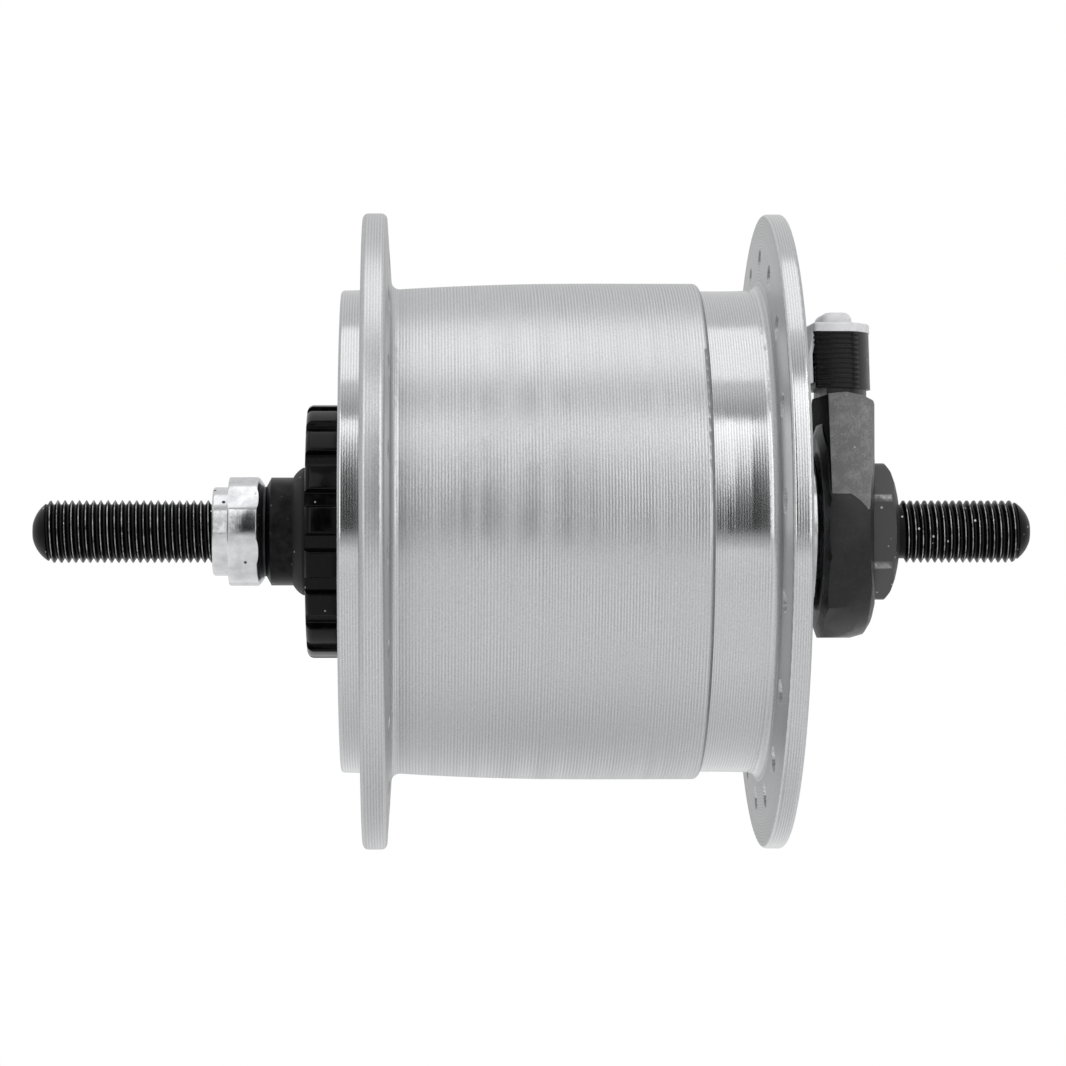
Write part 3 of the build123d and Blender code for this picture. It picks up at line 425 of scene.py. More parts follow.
# %% Make the moulded and enamelled finishes
def moulded(name, colour, scuffed, roughness, grain_mm, depth_mm, gloss=0.5, mottle=0.5):
    """A plastic or enamel skin with a grain, scuffed patches and pale dust."""
    patch_mm, dust_every_mm = 1.8, 2.4
    finish, tree, shader = new_finish(name, Specular_IOR_Level=gloss)
    place = place_mm(tree)
    grain = add_node(
        tree, "ShaderNodeTexNoise", {}, {"Scale": 1 / grain_mm, "Detail": 2.0}, {"Vector": place}
    ).outputs["Fac"]
    cloud = add_node(
        tree, "ShaderNodeTexNoise", {},
        {"Scale": 1 / patch_mm, "Detail": 5.0, "Roughness": 0.65}, {"Vector": place},
    ).outputs["Fac"]
    mixed = add_node(
        tree, "ShaderNodeMix", {}, {0: 0.35}, {2: cloud, 3: grain}
    ).outputs[0]
    scuff = add_node(
        tree, "ShaderNodeMapRange", {},
        {"From Min": 0.46, "From Max": 0.66, "To Min": 0.0, "To Max": mottle}, {"Value": mixed},
    ).outputs["Result"]
    tone = add_node(
        tree, "ShaderNodeMix", {"data_type": "RGBA"}, {6: linear(colour), 7: linear(scuffed)},
        {0: scuff},
    ).outputs[2]
    cells = add_node(
        tree, "ShaderNodeTexVoronoi", {}, {"Scale": 1 / dust_every_mm}, {"Vector": place}
    ).outputs["Distance"]
    dust = add_node(
        tree, "ShaderNodeMapRange", {},
        {"From Min": 0.03, "From Max": 0.07, "To Min": 0.7, "To Max": 0.0}, {"Value": cells},
    ).outputs["Result"]
    tone = add_node(
        tree, "ShaderNodeMix", {"data_type": "RGBA"}, {7: linear("C8C8C8")},
        {0: dust, 6: tone},
    ).outputs[2]
    tree.links.new(tone, shader.inputs["Base Color"])
    rough = add_node(
        tree, "ShaderNodeMapRange", {},
        {"From Min": 0.3, "From Max": 0.7, "To Min": roughness - 0.05, "To Max": roughness + 0.1},
        {"Value": cloud},
    ).outputs["Result"]
    tree.links.new(rough, shader.inputs["Roughness"])
    skin = add_node(
        tree, "ShaderNodeBump", {}, {"Distance": depth_mm * MM, "Strength": 0.5},
        {"Height": grain},
    ).outputs["Normal"]
    tree.links.new(skin, shader.inputs["Normal"])
    return finish


# Each has its clean and scuffed colour, its roughness, and its grain's width and depth in
# millimetres. A low gloss stands for skins that mirror less than usual.
gloss_enamel = moulded("gloss_black_enamel", "050506", "141415", 0.13, 0.8, 0.006, 0.13)
smooth_nylon = moulded("smooth_black_nylon", "161617", "2C2C2E", 0.3, 0.4, 0.01, 0.3)
# The near-black nylon is painted shade: it darkens the arm's faces toward the hub, in the narrow
# gap beside the flange.
painted_shade_nylon = moulded("painted_shade_black_nylon", "070708", "101011", 0.75, 0.3, 0.02, 0.1)
blasted_nylon = moulded("sandblasted_nylon", "6C6C6C", "929292", 0.6, 0.25, 0.03, 0.4, 0.8)
black_abs = moulded("black_abs", "060607", "1C1C1D", 0.26, 0.4, 0.01, 0.22)
grey_abs = moulded("light_grey_abs", "E2E2E4", "C6C6C9", 0.32, 0.6, 0.01)
rubber = moulded("nitrile_rubber", "121213", "222224", 0.55, 0.25, 0.012, 0.3)
bobbin_nylon = moulded("bobbin_nylon", "17171A", "26262A", 0.45, 0.3, 0.01)
ferrite = moulded("sintered_ferrite", "3A3A3D", "2A2A2C", 0.5, 0.3, 0.02)
wire_sheath = moulded("red_wire_sheath", "8C1A12", "701109", 0.4, 0.5, 0.01)
print("made ten moulded and enamelled finishes")

# %% [markdown]
# ## The copper coil
#
# The coil is hundreds of turns of enamelled copper wire, 0.4 mm thick, laid side by side like
# thread on a reel. The eye sees fine bright lines between dark gaps. A wave along the axle
# draws them: a full wave in Blender's Wave texture is 0.31 of its unit, which sets the scale.


# %% Make the copper finish
wire_mm = 0.4
copper, tree, shader = new_finish("enamelled_copper_winding", Metallic=0.9, Roughness=0.28)
wire_turns = add_node(
    tree, "ShaderNodeTexWave", {"bands_direction": "Y"},
    {"Scale": 0.314 / wire_mm, "Distortion": 0.4, "Detail": 1.0}, {"Vector": place_mm(tree)},
).outputs["Fac"]
wire_tone = add_node(
    tree, "ShaderNodeMix", {"data_type": "RGBA"}, {6: linear("7A2C10"), 7: linear("C4652E")},
    {0: wire_turns},
).outputs[2]
tree.links.new(wire_tone, shader.inputs["Base Color"])
wire_skin = add_node(
    tree, "ShaderNodeBump", {}, {"Distance": wire_mm / 3 * MM}, {"Height": wire_turns}
).outputs["Normal"]
tree.links.new(wire_skin, shader.inputs["Normal"])
print("made", copper.name)

# %% [markdown]
# ## Modelling tools
#
# Most of the hub is made on a lathe, so most pieces start as an outline of half their section,
# which is drawn point by point with the extrude tool and then spun round the axle. Flat-sided
# pieces, such as the nuts, are the overlap of such a turned blank with a many-sided bar, as
# they are when they are made. Outlines are in millimetres, and rounded where the real edge is.


# %% Select in code
def choose_nothing():
    """Leaves edit mode and deselects every object."""
    if bpy.context.mode != "OBJECT":
        bpy.ops.object.mode_set(mode="OBJECT")
    bpy.ops.object.select_all(action="DESELECT")


def pick(*pieces):
    """Selects only these pieces, and makes the last one active."""
    choose_nothing()
    for piece in pieces:
        piece.select_set(True)
    bpy.context.view_layer.objects.active = pieces[-1]


print(len(bpy.context.selected_objects), "objects were selected after loading")
choose_nothing()


# %% Work out an outline
def rounded(corners, steps=4):
    """The points of a closed outline. A corner's third number is its rounding."""
    points = []
    for index, corner in enumerate(corners):
        here = Vector(corner[:2])
        if len(corner) < 3:
            points.append(tuple(here))
            continue
        before = (Vector(corners[index - 1][:2]) - here).normalized()
        after = (Vector(corners[(index + 1) % len(corners)][:2]) - here).normalized()
        half = before.angle(after) / 2
        middle = here + (before + after).normalized() * corner[2] / sin(half)
        start = here + before * corner[2] / tan(half) - middle
        turn = start.angle_signed(here + after * corner[2] / tan(half) - middle)
        for step in range(steps + 1):
            angle = -turn * step / steps
            points.append((
                middle.x + start.x * cos(angle) - start.y * sin(angle),
                middle.y + start.x * sin(angle) + start.y * cos(angle),
            ))
    return points


def regular(sides, corner_r, first_angle, rounding=0.0):
    """The corners of a regular outline. Angles run from the back of the hub upwards."""
    angles = [radians(first_angle + 360 * index / sides) for index in range(sides)]
    corners = [(corner_r * cos(angle), corner_r * sin(angle)) for angle in angles]
    return rounded([(x, z, rounding) for x, z in corners]) if rounding else corners


def arc(middle, radius, from_angle, to_angle, steps=12):
    """Points on an arc, from one angle to another."""
    angles = [radians(from_angle + (to_angle - from_angle) * k / steps) for k in range(steps + 1)]
    return [(middle[0] + radius * cos(a), middle[1] + radius * sin(a)) for a in angles]


print("a hexagon with rounded corners has", len(regular(6, 10, 0, 1)), "points")


# %% Draw an outline with the extrude tool
def draw(name, points, closed=True):
    """A line through points in millimetres. It stays in edit mode, all selected."""
    choose_nothing()
    bpy.ops.mesh.primitive_plane_add(size=MM)
    piece = bpy.context.active_object
    piece.name = name
    bpy.ops.object.mode_set(mode="EDIT")
    bpy.ops.mesh.select_mode(type="VERT")
    bpy.ops.mesh.select_all(action="SELECT")
    bpy.ops.mesh.merge(type="CENTER")
    bpy.ops.transform.translate(value=Vector(points[0]) * MM)
    for here, there in zip(points, points[1:]):
        step = (Vector(there) - Vector(here)) * MM
        bpy.ops.mesh.extrude_region_move(TRANSFORM_OT_translate={"value": step})
    bpy.ops.mesh.select_all(action="SELECT")
    if closed:
        bpy.ops.mesh.edge_face_add()
    return piece


def close_up(piece):
    """Merges doubles, points every face outwards and leaves edit mode."""
    bpy.ops.mesh.select_all(action="SELECT")
    bpy.ops.mesh.remove_doubles(threshold=0.0005 * MM)
    bpy.ops.mesh.normals_make_consistent(inside=False)
    bpy.ops.object.mode_set(mode="OBJECT")
    return piece


print("drawing tools ready")


# %% Turn or extrude an outline
def turn(name, outline, steps=192):
    """Spins an outline of radius and place along the axle. One that ends on the axle is open."""
    on_axle = outline[0][0] == 0 and outline[-1][0] == 0
    piece = draw(name, [(radius, y, 0) for radius, y in outline], closed=not on_axle)
    if not on_axle:
        bpy.ops.mesh.delete(type="ONLY_FACE")
        bpy.ops.mesh.select_all(action="SELECT")
    bpy.ops.mesh.spin(steps=steps, angle=2 * pi, center=(0, 0, 0), axis=(0, 1, 0))
    return close_up(piece)


def bar(name, outline, from_y, to_y):
    """Extrudes an outline of x and z along the axle."""
    piece = draw(name, [(x, from_y, z) for x, z in outline])
    run = (0, (to_y - from_y) * MM, 0)
    bpy.ops.mesh.extrude_region_move(TRANSFORM_OT_translate={"value": run})
    return close_up(piece)


def slab(name, outline, from_x, to_x):
    """Extrudes an outline of y and z across the axle."""
    piece = draw(name, [(from_x, y, z) for y, z in outline])
    run = ((to_x - from_x) * MM, 0, 0)
    bpy.ops.mesh.extrude_region_move(TRANSFORM_OT_translate={"value": run})
    return close_up(piece)


def post(name, outline, from_z, to_z, lean=0.0):
    """Extrudes an outline of x and y upwards, with its top moved along the axle by lean."""
    piece = draw(name, [(x, y, from_z) for x, y in outline])
    run = (0, lean * MM, (to_z - from_z) * MM)
    bpy.ops.mesh.extrude_region_move(TRANSFORM_OT_translate={"value": run})
    return close_up(piece)


print("turning and extruding tools ready")


# %% Combine pieces and round their edges
def merge_near(piece, distance):
    """Merges points that a cut has left almost on each other, so that bevels stay clean."""
    pick(piece)
    bpy.ops.object.mode_set(mode="EDIT")
    bpy.ops.mesh.select_all(action="SELECT")
    bpy.ops.mesh.remove_doubles(threshold=distance * MM)
    bpy.ops.mesh.dissolve_degenerate(threshold=distance * MM / 2)
    bpy.ops.object.mode_set(mode="OBJECT")


def combine(piece, other, how):
    """Cuts, joins or overlaps a piece with another, which is used up."""
    pick(piece)
    tool = piece.modifiers.new("combine", "BOOLEAN")
    tool.operation, tool.object, tool.solver = how, other, "EXACT"
    tool.material_mode = "TRANSFER"
    bpy.ops.object.modifier_apply(modifier=tool.name)
    bpy.data.objects.remove(other)
    merge_near(piece, 0.001)
    return piece


def round_edges(piece, width, angle, segments=2):
    """Bevels every edge that is sharper than an angle in degrees."""
    pick(piece)
    bevel = piece.modifiers.new("rounding", "BEVEL")
    bevel.width, bevel.segments, bevel.angle_limit = width * MM, segments, radians(angle)
    bevel.use_clamp_overlap = False
    bpy.ops.object.modifier_apply(modifier=bevel.name)


def copy_of(piece, name):
    """A copy with its own mesh."""
    pick(piece)
    bpy.ops.object.duplicate()
    twin = bpy.context.active_object
    twin.name = name
    return twin


print("combining tools ready")


# %% Finish a piece and put it in its place
def paint(piece, finish):
    """Every face of the piece gets this finish and no other."""
    piece.data.materials.clear()
    piece.data.materials.append(finish)
    for face in piece.data.polygons:
        face.material_index = 0
    return piece


def box_of(piece):
    """The lowest and highest corner of a piece, in metres."""
    places = [piece.matrix_world @ Vector(corner) for corner in piece.bound_box]
    return [[end(place[i] for place in places) for i in range(3)] for end in (min, max)]


def finish_piece(piece, node, body, smooth=30):
    """Shades the piece, and lets it ride on a body and stand for a CAD node."""
    pick(piece)
    bpy.ops.object.transform_apply(location=True, rotation=True, scale=True)
    bpy.ops.object.shade_smooth_by_angle(angle=radians(smooth))
    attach(piece, body)
    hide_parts(node)
    choose_nothing()
    low, high = [[c / MM for c in corner] for corner in box_of(piece)]
    print(piece.name, "has", len(piece.data.polygons), "faces,",
          "from", [round(c, 2) for c in low], "to", [round(c, 2) for c in high], "mm")
    return piece


print("finishing tools ready")

# %% [markdown]
# ## The axle
#
# The axle is a steel rod with a fine thread cut on both ends, one turn for each millimetre, and
# a domed tip that lets a nut start easily. Rings at the same spacing would look much the same
# from far away, but a nut could not climb them. The Screw modifier sweeps one ridge of the
# thread round the axle. Overlapping it with a domed blank ends it at the tip, as the real
# chamfer does, and joining it to a plain core makes the rod.

# %% Set the axle's sizes
crest_r, root_r, shank_r = 4.4, 3.8, 4.175
pitch, half_length = 1.0, 70.0
dome_r, left_flat_r, right_flat_r = 4.9, 1.2, 1.65
left_nut_y, right_nut_y = 44.8, -51.2
coil_r, coil_end_y = 5, 19
shoulder_r, shoulder_y, shoulder_end_y = 7, -14, -17.5
print("thread", 2 * crest_r, "by", pitch, "mm, from root radius", root_r)


# %% Turn the core
def tip_arc(flat_r, end_r, steps=6):
    """Points on a domed tip from its flat end out to a radius, as radius and depth."""
    flat_depth = dome_r - sqrt(dome_r**2 - flat_r**2)
    radii = [flat_r + (end_r - flat_r) * k / steps for k in range(steps + 1)]
    return [(r, dome_r - sqrt(dome_r**2 - r**2) - flat_depth) for r in radii]


left_tip = [(r, half_length - depth) for r, depth in tip_arc(left_flat_r, root_r)]
right_tip = [(r, depth - half_length) for r, depth in tip_arc(right_flat_r, root_r)]
axle = turn("axle_core", [
    (0, half_length), *left_tip, (root_r, left_nut_y), (shank_r, left_nut_y),
    (shank_r, coil_end_y), (coil_r, coil_end_y), (coil_r, shoulder_y), (shoulder_r, shoulder_y),
    (shoulder_r, shoulder_end_y), (shank_r, shoulder_end_y), (shank_r, right_nut_y),
    (root_r, right_nut_y), *reversed(right_tip), (0, -half_length),
], steps=96)
groove_end_y, groove_low, groove_half_w = -45.2, 2.625, 1.35
groove = slab("lead_groove", [
    (shoulder_y, groove_low), (groove_end_y, groove_low), (groove_end_y, 9), (shoulder_y, 9),
], -groove_half_w, groove_half_w)
combine(axle, groove, "DIFFERENCE")
print("core made, with a groove for the two leads")


# %% Sweep the thread
def thread(name, from_y, to_y, flat_r):
    """A ridge that climbs from the nut to the tip, where the dome cuts it off."""
    half, top, lift = 0.45 * pitch, 0.05 * pitch, 0.06
    ridge = draw(name, [
        (root_r - 0.1, from_y - half, 0), (crest_r - lift, from_y - top - 0.03, 0),
        (crest_r, from_y - top, 0), (crest_r, from_y + top, 0),
        (crest_r - lift, from_y + top + 0.03, 0), (root_r - 0.1, from_y + half, 0),
    ])
    bpy.ops.mesh.delete(type="ONLY_FACE")
    bpy.ops.object.mode_set(mode="OBJECT")
    climb = ridge.modifiers.new("climb", "SCREW")
    climb.axis, climb.angle, climb.screw_offset = "Y", 2 * pi, pitch * MM
    climb.iterations = int(abs(to_y - from_y) / pitch)
    climb.steps = climb.render_steps = 48
    bpy.ops.object.modifier_apply(modifier=climb.name)
    bpy.ops.object.mode_set(mode="EDIT")
    bpy.ops.mesh.select_all(action="SELECT")
    bpy.ops.mesh.fill_holes(sides=0)
    close_up(ridge)
    way = 1 if to_y > 0 else -1
    nut_y = from_y if way > 0 else to_y
    end = [(r, way * (half_length - depth)) for r, depth in tip_arc(flat_r, crest_r)]
    outer = crest_r + 0.2
    blank = turn("domed_blank", [
        (0, way * half_length), *end, (outer, end[-1][1] - way * 0.3), (outer, nut_y), (0, nut_y),
    ], steps=96)
    return combine(ridge, blank, "INTERSECT")


left_thread = thread("left_thread", left_nut_y, half_length + 1, left_flat_r)
right_thread = thread("right_thread", -half_length - 1, right_nut_y, right_flat_r)
pick(left_thread, right_thread, axle)
bpy.ops.object.join()
axle.name = "threaded_axle"
paint(axle, axle_black)
finish_piece(axle, "axle", "axle_group", smooth=35)

# %% [markdown]
# ## The two locknuts
#
# A locknut is a slice of hexagonal bar, turned at its ends so that its corners don't cut a
# hand. The left one is turned down so far that only narrow flats are left of the hexagon, and
# it has a round collar that bears on the fork. The right one's outer end is a low dome.
# Overlapping a hexagon with a turned blank leaves the curved line at each corner that every
# nut has.

# %% Make the left locknut
nut_y, collar_y, face_y = 37.65, 42.55, left_nut_y
bore_r, collar_r, nut_r = 4.2, 6.2, 7.65
left_blank = turn("left_nut_blank", rounded([
    (bore_r, face_y - 0.2), (4.4, face_y), (collar_r, face_y, 0.35), (collar_r, collar_y, 0.12),
    (nut_r, collar_y, 0.25), (nut_r, nut_y + 0.8, 0.5), (6.6, nut_y, 0.2), (bore_r, nut_y),
]))
left_hexagon = bar("left_hexagon", regular(6, 8.57, -8, 0.25), collar_y + 0.4, nut_y - 0.1)
left_collar = turn("left_collar", [
    (3, face_y + 0.1), (6.3, face_y + 0.1), (6.3, collar_y - 1), (3, collar_y - 1),
])
left_nut = combine(left_blank, combine(left_hexagon, left_collar, "UNION"), "INTERSECT")
left_nut.name = "left_zinc_locknut"
paint(left_nut, zinc_plate)
finish_piece(left_nut, "left_locknut", "axle_group")

# %% Make the right locknut
inner_y, face_y, nut_r = -47.0, right_nut_y, 9.62
right_blank = turn("right_nut_blank", rounded([
    (bore_r, inner_y), (nut_r, inner_y, 0.2), (nut_r, -49.5, 0.3), (8.7, -50.15),
    (7.5, -50.62), (6.3, -50.93), (5.2, -51.12), (4.75, face_y, 0.1), (4.4, face_y + 0.1),
    (bore_r, face_y + 0.4),
]))
right_hexagon = bar("right_hexagon", regular(6, 9.72, 30, 0.22), inner_y + 0.1, face_y - 0.1)
right_nut = combine(right_blank, right_hexagon, "INTERSECT")
right_nut.name = "right_black_locknut"
paint(right_nut, nut_black)
finish_piece(right_nut, "right_locknut", "axle_group")

# %% [markdown]
# ## The splined plate
#
# A roller brake slides over this plate, and its eighteen lobes carry the braking force into
# the hub. The plate is fine-blanked steel under black enamel, so its lobes have soft corners
# and its outer edge is well rounded. One lobe's outline is worked out and repeated round the
# circle, and a turned blank rounds the outer edge of them all at once.

# %% Make the splined plate
lobe_r, valley_r, lobes = 17.75, 16.75, 18
lobe_turn, flank_turn, first_turn = 11.7 / 2, 0.9, 5.0
lobed = []
for lobe in range(lobes):
    middle = 180 - (first_turn + lobe * 360 / lobes)
    for turned_by, radius, rounding in (
        (lobe_turn, lobe_r, 0.35), (lobe_turn / 2, lobe_r * 1.0012, None),
        (0, lobe_r * 1.0015, None), (-lobe_turn / 2, lobe_r * 1.0012, None),
        (-lobe_turn, lobe_r, 0.35),
        (-lobe_turn - flank_turn, valley_r, 0.22),
        (lobe_turn + flank_turn - 360 / lobes, valley_r, 0.22),
    ):
        angle = radians(middle + turned_by)
        corner = (radius * cos(angle), radius * sin(angle))
        lobed.append((*corner, rounding) if rounding else corner)
plate_face, plate_back = 31.6, 27.2
recess_r, recess_y, hole_r, rim_r = 15.02, 31.0, 9.25, 17.74
plate = bar("lobed_bar", rounded(lobed, steps=3), plate_face + 0.1, plate_back - 0.1)
plate_blank = turn("plate_blank", rounded([
    (recess_r, plate_back), (rim_r, plate_back, 0.15), (rim_r, plate_face, 0.9),
    (hole_r, plate_face, 0.2), (hole_r, recess_y), (recess_r, recess_y),
], steps=6))
plate = combine(plate_blank, plate, "INTERSECT")
plate.name = "enamelled_spline_plate"
paint(plate, gloss_enamel)
finish_piece(plate, "brake_spline_plate", "hub")

# %% [markdown]
# ## The terminal housing
#
# The housing is one moulding of black nylon. Its round base sits on the axle and has twelve
# flats for a spanner. A broad arm rises from it to the plug, with a sandblasted surface that
# looks lighter than the smooth base. So the two are made apart, each with its own finish, and
# then joined: the Boolean modifier carries both finishes into the joint. Seen from above, the
# outer face is bowed, and one bowed block trims both.

# %% Set the housing's sizes
edge_y, outer_y, base_r = -40.4, -47.8, 15.5
bow, bow_half = 2.46, 16.0
bow_r = (bow_half**2 + bow**2) / (2 * bow)
bow_turn = degrees(atan(bow_half / (bow_r - bow)))
print("the outer face is bowed to a radius of", round(bow_r, 1), "mm")


# %% Make the base
def bowed_block(name, low_z, high_z, inset=0.0):
    """The housing's plan, which trims a piece to the bowed outer face."""
    face = arc((0, outer_y + bow_r + inset), bow_r, -90 - bow_turn, -90 + bow_turn, 20)
    return post(name, [*face, (bow_half, -39.0), (-bow_half, -39.0)], low_z, high_z)


base = turn("housing_base", rounded([
    (bore_r, -39.6), (13.3, -39.6, 0.2), (base_r, edge_y, 0.3), (base_r, -41.6), (15.4, -42.6),
    (15.22, -43.6), (14.98, -44.6), (14.7, -45.6), (14.5, -46.3, 0.3), (13.3, -47.05, 0.5),
    (10.4, outer_y, 0.3), (bore_r, outer_y),
]))
flats = bar("twelve_flats", regular(12, base_r, 13, 0.25), -39.5, outer_y - 0.1)
base = combine(base, flats, "INTERSECT")
base = combine(base, bowed_block("base_trim", -16, 16), "INTERSECT")
paint(base, smooth_nylon)
print("base made with", len(base.data.polygons), "faces")

# %% Make the arm
arm = bar("housing_arm", rounded([
    (-14.4, 1.5), (-14.4, 6.2), (-10, 19.4, 1.4), (10, 19.4, 1.4), (14.4, 6.2), (14.4, 1.5),
    (0, 0),
], steps=3), edge_y, outer_y - 0.1)
arm_side = slab("arm_side", [
    (edge_y - 0.04, -1), (edge_y - 0.04, 19.1), (-43.0, 19.38), (-45.2, 18.9), (-47.2, 17.9),
    (outer_y, 2), (outer_y, -1),
], -bow_half, bow_half)
arm = combine(arm, arm_side, "INTERSECT")
arm = combine(arm, bowed_block("arm_trim", -2, 21, 0.03), "INTERSECT")
merge_near(arm, 0.05)
round_edges(arm, 0.25, 38)
merge_near(arm, 0.005)
print("arm made with", len(arm.data.polygons), "faces")

# %% Give the arm its two finishes
paint(arm, blasted_nylon)
# Faces toward the hub take the near-black finish: painted shade for the narrow gap beside the
# flange, not a moulded skin.
arm.data.materials.append(painted_shade_nylon)
painted_shade_faces = [face for face in arm.data.polygons if face.normal.y > 0.6]
for face in painted_shade_faces:
    face.material_index = 1
print(len(painted_shade_faces), "faces toward the hub are left as moulded, and the rest is blasted")


# %% Join them and cut the bore
def plug_plan(grow=0.0, corner=0.6, shift=0.0):
    """The plug seen from above: straight ends and a bowed outer face."""
    half, near, far, bulge_r, bulge_y = 8.5 + grow, -38.9 + grow, -44.2, 12.89 + grow, -34.51
    face = arc((0, bulge_y), bulge_r, -90 - 40, -90 + 40, 20)
    face = [(x, y) for x, y in face if abs(x) < half - corner * 0.9]
    near_corners = rounded([(half, near, corner), (-half, near, corner), (-half, far), (half, far)])
    near_corners = near_corners[:-2]
    side_y = bulge_y - sqrt(bulge_r**2 - (half - corner * 0.35)**2)
    left, right = (-half, side_y + corner * 1.1), (half, side_y + corner * 1.1)
    soft_x, soft_y = half - corner * 0.25, side_y + corner * 0.3
    points = [*near_corners, left, (-soft_x, soft_y), *face, (soft_x, soft_y), right]
    return [(x, y + shift) for x, y in points]


housing = combine(base, arm, "UNION")
plug_low, plug_high = 19.9, 27.8
neck_plan = [(x, y) for x, y in plug_plan(-0.45) if y < edge_y - 0.1]
neck_plan += [(8.05, edge_y - 0.1), (-8.05, edge_y - 0.1)]
tongue_plan = rounded([
    (-4.3, -44.85, 0.4), (4.3, -44.85, 0.4), (4.3, -41.45, 0.4), (-4.3, -41.45, 0.4),
])
for part in (
    post("plug_neck", neck_plan, 16.9, plug_low), post("plug_tongue", tongue_plan, 16.8, 22.4)
):
    paint(part, smooth_nylon)
    housing = combine(housing, part, "UNION")
for name, radius, from_y, to_y in (
    ("axle_bore", 4.195, -38, -49), ("nut_recess", 10.0, -46.2, -49),
    ("cone_recess", 8.0, -38, -40.6),
):
    cutter = turn(name, [(0, from_y), (radius, from_y), (radius, to_y), (0, to_y)], steps=96)
    paint(cutter, smooth_nylon)
    housing = combine(housing, cutter, "DIFFERENCE")
housing.name = "moulded_terminal_housing"
finish_piece(housing, "terminal_housing", "axle_group", smooth=28)

# %% [markdown]
# ## The plug and its cover
#
# The lamp's two wires end in this plug, which grips the arm's tongue. It is pulled off by its
# two ends, so those have fine ribs for the fingers. One rib is modelled, the Array modifier
# repeats it up the plug, and a mirrored copy does the other end. The whole plug leans towards
# the hub by a quarter of a millimetre, so each rib sits a little further in than the one below.

# %% Make the plug
lean, ribs, rib_height = 0.25, 12, 0.37
core_share = 8.26 / 8.5
plug = post("ribbed_plug", [
    (x * core_share, y - 0.1) for x, y in plug_plan()
], plug_low, plug_high, lean)
pocket = post("tongue_pocket", [
    (-4.5, -45.05), (4.5, -45.05), (4.5, -41.25), (-4.5, -41.25),
], plug_low - 0.1, 22.6)
plug = combine(plug, pocket, "DIFFERENCE")
rib = post("rib", rounded([
    (-7.4, -38.9), (-8.5, -38.9, 0.45), (-8.5, -44.3, 0.7), (-7.3, -45.2),
]), plug_low, plug_low + rib_height)
round_edges(rib, 0.09, 50)
rise = (plug_high - plug_low - rib_height) / (ribs - 1)
stack = rib.modifiers.new("stack", "ARRAY")
stack.count, stack.use_relative_offset, stack.use_constant_offset = ribs, False, True
stack.constant_offset_displace = (0, lean / (ribs - 1) * MM, rise * MM)
bpy.ops.object.modifier_apply(modifier=stack.name)
far_ribs = copy_of(rib, "far_ribs")
bpy.ops.object.mode_set(mode="EDIT")
bpy.ops.mesh.select_all(action="SELECT")
bpy.ops.transform.mirror(
    constraint_axis=(True, False, False), orient_type="GLOBAL", center_override=(0, 0, 0)
)
bpy.ops.mesh.normals_make_consistent(inside=False)
pick(rib, far_ribs, plug)
bpy.ops.object.join()
paint(plug, black_abs)
finish_piece(plug, "plug_body", "plug", smooth=35)

# %% Make the cover
cover_high = 29.05
cover = post("snap_cover", plug_plan(0.1, 0.75, 0.15), plug_high, cover_high)
pick(cover)
bpy.ops.object.mode_set(mode="EDIT")
bpy.ops.mesh.select_mode(type="FACE")
bpy.ops.mesh.select_all(action="DESELECT")
bpy.ops.object.mode_set(mode="OBJECT")
top_face = max(cover.data.polygons, key=lambda face: face.center.z)
top_face.select = True
bpy.ops.object.mode_set(mode="EDIT")
bpy.ops.mesh.bevel(offset=0.3 * MM, segments=4, affect="EDGES")
bpy.ops.object.mode_set(mode="OBJECT")
print("cover made with", len(cover.data.polygons), "faces")

# %% Add its finger grip and its leaf
choose_nothing()
grip_place, grip_size = Vector((0, -42.3, 29.0)), Vector((9.9, 4.35, 3.3))
bpy.ops.mesh.primitive_cube_add(size=1, location=grip_place * MM, scale=grip_size * MM)
grip = bpy.context.active_object
grip.name = "finger_grip"
bpy.ops.object.transform_apply(location=True, rotation=True, scale=True)
bpy.ops.object.mode_set(mode="EDIT")
bpy.ops.mesh.select_all(action="SELECT")
bpy.ops.mesh.bevel(offset=1.2 * MM, segments=8, affect="EDGES")
bpy.ops.object.mode_set(mode="OBJECT")
leaf = slab("cover_leaf", rounded([
    (-38.75, 28.7), (-38.1, 24.6, 1.0), (-38.25, 20.6, 0.2), (-38.7, 20.6, 0.2),
    (-38.55, 24.6, 1.0), (-39.2, 28.0), (-39.2, 28.7),
]), -7.8, 7.8)
cover = combine(cover, grip, "UNION")
pick(leaf, cover)
bpy.ops.object.join()
paint(cover, grey_abs)
finish_piece(cover, "plug_cover", "plug_lid", smooth=35)

# %% [markdown]
# ## Dress the CAD pieces
#
# A CAD piece whose shape is right keeps its mesh and only takes a finish. The right flange and
# the left cover take two: their flat faces stay satin, like the barrel.


# %% Give each CAD piece its finish
def dress(finish, *names):
    """The CAD pieces of these names get this finish and no other."""
    for name in names:
        slots = nodes[name].data.materials
        slots.clear()
        slots.append(finish)


dress(barrel_aluminium, "hub_shell")
dress(flange_aluminium, "right_flange_cap", "left_end_cover")
dress(cone_black, "left_cone")
dress(rubber, "left_cone_seal", "left_grease_ring")
dress(pressed_steel, "right_dust_cap")
dress(dark_steel, "left_lock_washer", "right_lock_washer")
dress(ground_steel, "right_cone", "left_bearing_cup", "right_bearing_cup", "stator_washer")
dress(bare_steel, "stator_core", "stator_yoke_left", "stator_yoke_right", "stator_nut")
dress(bare_steel, "rotor_ring")
dress(ferrite, "rotor_magnets")
dress(copper, "coil_winding")
dress(bobbin_nylon, "coil_bobbin")
dress(brass, "left_ball_cage", "right_ball_cage", "terminal_contacts")
dress(ball_steel, "left_balls", "right_balls")
dress(wire_sheath, "lead_wires")
print("dressed", len(nodes), "CAD pieces")

